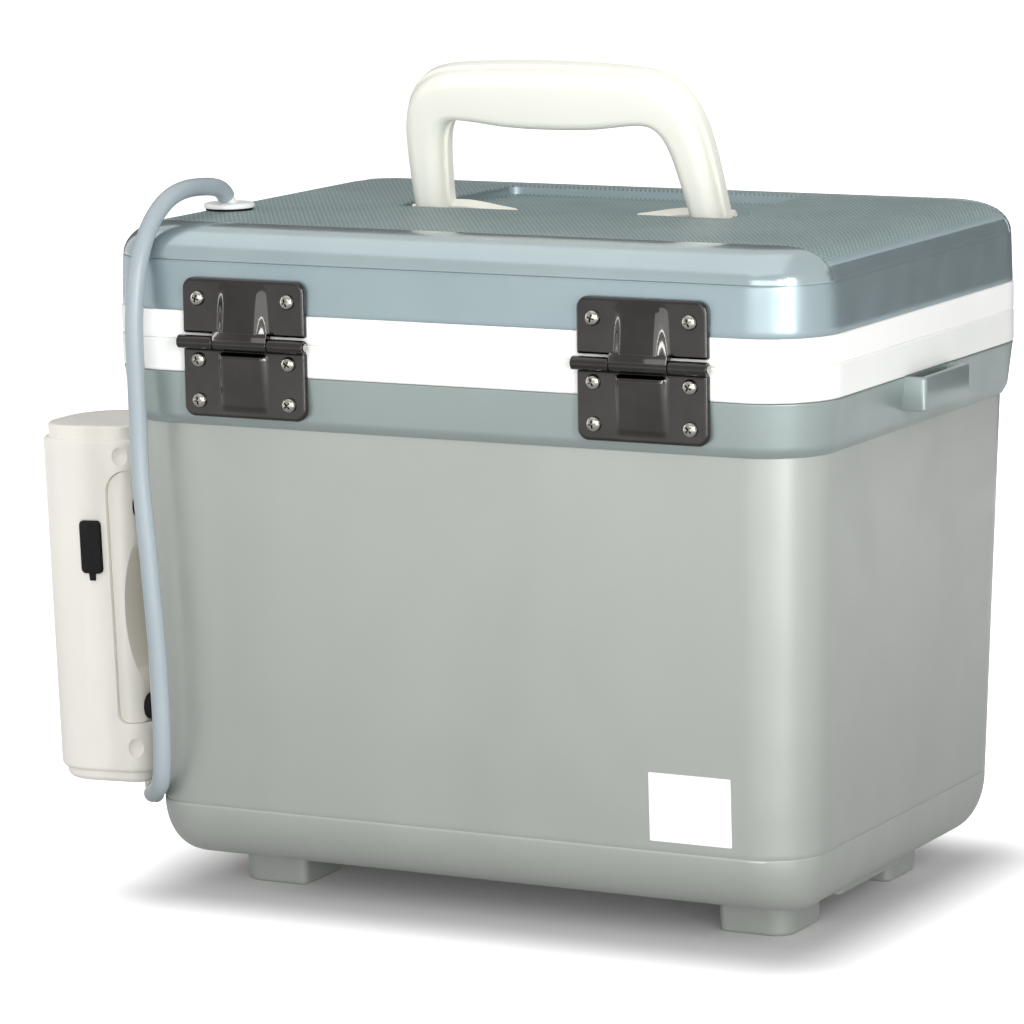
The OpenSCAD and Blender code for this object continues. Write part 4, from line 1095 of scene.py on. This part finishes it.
def bail_section(station, trim, seam, face, r):
    """A half's section: across from the outer to the inner edge, rounded towards its face."""
    ox, oh, ix, ih = station
    length = math.hypot(ix - ox, ih - oh)
    across = ((ix - ox) / length, (ih - oh) / length)
    width = length - 2 * trim
    direction = -1 if face < seam else 1
    deep = abs(face - seam)
    lip = 0.8
    points = [(lip, 0), (0.1, 0.1), (0, lip)]
    points += [(r * (1 - cos(a)), deep - r + r * sin(a)) for a in arc(0, 90, 8)]
    points += [(width - p, q) for p, q in reversed(points)]
    return [(ox + across[0] * (trim + p), seam + direction * q, oh + across[1] * (trim + p))
            for p, q in points]


def bail_half(name, trim, seam, face, r):
    mirrored = [(-ox, oh, -ix, ih) for ox, oh, ix, ih in reversed(BAIL[:-1])]
    stations = catmull(BAIL + mirrored, 6)
    rings = [bail_section(s, trim, seam, face, r) for s in stations]
    return loft(name, rings, "handle_white", sharp=40, matrix=handle_frame())


def handle_frame():
    return Matrix.Translation((0, PIVOT_Y, PIVOT_Z)) @ spin(HANDLE_LEAN, "X")


def handle_flare(side):
    """The low flare on the inner side of each foot."""
    top = [(56, 4.4), (46, 4.4), (40, 3.6), (33, 2.3), (26, 1.2), (26, 0.2), (56, 0.2)]
    outline = softened([[x, h, 1.5] for x, h in top], closed=True, steps=3)
    rings = []
    for depth, inset in ((HANDLE_SPLIT + GAP, 0.5), (HANDLE_SPLIT + 0.5, 0),
                         (HANDLE_BACK - 0.5, 0), (HANDLE_BACK, 0.5)):
        rings.append([(side * x, depth, h - inset * (h > 1)) for x, h in outline])
    return loft(f"flare_{side}", rings, "handle_white", matrix=handle_frame())


def handle_eye(side):
    """The barrel that turns on the pivot pin."""
    lay = spin(90 * side, "Y")
    rows = softened([[2.1, 52.3, 0], [4.4, 52.3, 0.4], [4.4, 67.3, 0.4], [2.1, 67.3, 0]])
    return turned(f"eye_{side}", rows, "handle_white", matrix=handle_frame() @ lay)


def make_handle():
    front = bail_half("handle_front_half_body", 1.4, HANDLE_SPLIT, HANDLE_FACE, 5.2)
    put(front, "handle", "handle_white", "handle_front_half")
    rear = bail_half("handle_rear_half_body", 0, HANDLE_SPLIT + GAP, HANDLE_BACK, 2.0)
    extras = [make(s) for make in (handle_flare, handle_eye) for s in (-1, 1)]
    put(join("handle_rear_half_body", [rear, *extras]), "handle", "handle_white", "handle_rear_half")


make_handle()


# ---- air pump

PUMP_AT = (-198.5, -10.0, 27.0)
PUMP_LEAN = -2
PUMP_OUT, PUMP_IN, PUMP_W, PUMP_H = -27.5, 22.0, 54.0, 146.0
CAP_H, BAND_Z, CAP_INSET = 5.5, 4.5, 2.2
CAP_LOW_Z = PUMP_H - CAP_H
REAR_SPLIT, REAR_LOW, REAR_HIGH = 10.5, 25.0, 128.0
POSTS_W, POST_V = (31.0, 113.0), 17.0


def pump_frame():
    """The pump's own frame: u away from the box's middle, v across, w up."""
    return Matrix.Translation(PUMP_AT) @ spin(PUMP_LEAN, "Y")


def pump_loft(name, rings, finish="pump_white", sharp=35):
    return loft(name, rings, finish, sharp=sharp, matrix=pump_frame())


def pump_shell(name, rows):
    """A loft of the pump's outline from [inset, height, fillet] rows."""
    rings = []
    for inset, w in softened(rows):
        outer, inner = 22 - inset, 7 - inset / 2
        rings.append(level(rounded_rect(PUMP_OUT + inset, PUMP_IN - inset, -PUMP_W / 2 + inset,
                                        PUMP_W / 2 - inset, [inner, outer, outer, inner]), w))
    return pump_loft(name, rings, sharp=40)


def prism(name, outline, v0, v1):
    """A block with a (u, w) outline between two v."""
    return pump_loft(name, [[(u, v, w) for u, w in outline] for v in (v0, v1)])


def rear_zone(name, grow, rear, half=40):
    """The stretch of the back that the rear cover fills, seen from the side."""
    outline = rounded_rect(REAR_SPLIT - grow, rear, REAR_LOW - grow, REAR_HIGH + grow,
                           [0.5, 9 + grow, 4 + grow, 0.5], steps=10, support=0)
    return prism(name, outline, half, -half)


def ball(name, centre, radius):
    """A closed ball from rings, for scooping."""
    rows = [[max(radius * sin(a), 0.02), -radius * cos(a)] for a in arc(0, 180, 16)]
    return turned(name, rows, "pump_white", centre, matrix=pump_frame(), steps=32)


def make_pump_housing():
    housing = pump_shell("pump_housing_body", [[12, BAND_Z, 0], [1.2, BAND_Z, 0.2], [0, BAND_Z + 1.2, 0.9],
                                               [0, CAP_LOW_Z - 1.2, 0.9], [1.2, CAP_LOW_Z, 0.2],
                                               [12, CAP_LOW_Z, 0]])
    cutters = [rear_zone("zone_cutter", 0.12, 60)]
    for t in (-1, 1):
        for w in (15, 134):
            cutters.append(ball(f"scoop_{t}_{w}", (18.8, t * (PUMP_W / 2 + 2.4), w), 5))
    port = grown_rect(-2.6, 7.6, 86.1, 108.1, 0, 2, 6)
    cutters.append(prism("port_cutter", port, -PUMP_W / 2 - 2, -PUMP_W / 2 + 0.5))
    cutters.append(turned("button_cutter", [[7.4, -10], [7.4, 40]], "pump_white", (118.6, 0, 0),
                          matrix=pump_frame() @ spin(-90, "Y")))
    carve(housing, cutters, sharp=30, bevel=0.35)
    put(housing, "box", "pump_white", "pump_housing")


def make_pump_rear():
    cover = pump_shell("pump_rear_cover_body", [[12, REAR_LOW - 8, 0], [1.6, REAR_LOW - 8, 0],
                                                [1.6, REAR_HIGH + 8, 0], [12, REAR_HIGH + 8, 0]])
    carve(cover, [rear_zone("zone_keep", -0.12, PUMP_IN - 2)], "INTERSECT")
    hollow_r, hollow_depth, hollow_w = 90, 4.5, 71
    place = Matrix.Translation((PUMP_IN - 2 + hollow_r - hollow_depth, 0, hollow_w)) @ spin(90, "X")
    hollow = turned("hollow", [[hollow_r, -40], [hollow_r, 40]], "pump_white",
                    matrix=pump_frame() @ place, steps=96)
    carve(cover, [hollow], sharp=30, bevel=0.5)
    rows = softened([[0.5, 0, 0], [5.9, 0, 0], [5.55, 3.6, 0.8], [4.8, 4, 0.2], [0.5, 4, 0]])
    posts = []
    for w in POSTS_W:
        for t in (-1, 1):
            place = pump_frame() @ Matrix.Translation((16, t * POST_V, w)) @ spin(90, "Y")
            posts.append(turned(f"post_{w}_{t}", rows, "pump_white", matrix=place))
    put(join("pump_rear_cover_body", [cover, *posts]), "box", "pump_white", "pump_rear_cover")


def make_pump_caps():
    cap = pump_shell("pump_top_cap_body", [[12, CAP_LOW_Z, 0], [CAP_INSET, CAP_LOW_Z, 0],
                                           [CAP_INSET, PUMP_H - 0.05, 1.4], [12, PUMP_H, 0]])
    put(cap, "box", "pump_white", "pump_top_cap")
    band = pump_shell("pump_bottom_cap_body", [[12, 0, 0], [CAP_INSET + 1.5, 0, 0.6], [CAP_INSET, 1.6, 1],
                                               [CAP_INSET, BAND_Z, 0], [12, BAND_Z, 0]])
    put(band, "box", "pump_white", "pump_bottom_cap")


def make_port_flap():
    """The rubber flap over the charge port, with its pull tab."""
    wall = -PUMP_W / 2
    rings = []
    for inset, out in ((0.6, -0.5), (0, -0.3), (0, 0.9), (0.25, 1.15), (0.9, 1.3)):
        ring = grown_rect(-2.3, 7.3, 86.4, 107.8, -inset, 1.9 - inset * 0.8, 6)
        rings.append([(u, wall - out, w) for u, w in ring])
    flap = pump_loft("flap", rings, "black_rubber")
    rings = []
    for inset, out in ((0.3, 0.0), (0, 0.1), (0, 0.7), (0.3, 0.95)):
        outline = [(0.9 + inset, 87.0), (1.3 + inset, 83.4 + inset),
                   (3.7 - inset, 83.4 + inset), (4.1 - inset, 87.0)]
        rings.append([(u, wall - out, w) for u, w in outline])
    tab = pump_loft("tab", rings, "black_rubber")
    put(join("charge_port_flap_body", [flap, tab]), "charge_port_flap", "black_rubber", "charge_port_flap")


make_pump_housing()
make_pump_rear()
make_pump_caps()
make_port_flap()


# ---- CAD pieces that stay

CAD_NODES = {
    "foam": "box_foam lid_foam", "gasket_rubber": "lid_gasket", "stone": "air_stone",
    "pin_steel": "hinge_pins latch_pins handle_pivot_pins",
    "dark_nickel": "latch_keeper_left latch_keeper_right latch_base_left latch_base_right"
                   " latch_hasp_left latch_hasp_right",
    "screw_chrome": "latch_keeper_screws latch_base_screws hanger_screws",
    "black_rubber": "grommet_washer pump_rubber_pads hanger_wall_pad",
    "pump_white": "pump_hanger pump_outlet_elbow", "motor_metal": "air_motor",
    "battery_wrap": "battery_cell", "circuit_green": "circuit_board", "socket_metal": "charge_socket",
    "button_grey": "power_button", "light_lens": "status_light"}


def dress(node, finish):
    """Gives a CAD node its finish and smooth shading; its own points stay as they are."""
    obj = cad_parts[node]
    obj.data.materials.clear()
    obj.data.materials.append(finishes[finish])
    for face in obj.data.polygons:
        face.use_smooth = True
    add_modifier(obj, "WELD", merge_threshold=MERGE)
    add_modifier(obj, "EDGE_SPLIT", split_angle=radians(32))


for cad_finish, cad_nodes in CAD_NODES.items():
    for cad_node in cad_nodes.split():
        dress(cad_node, cad_finish)
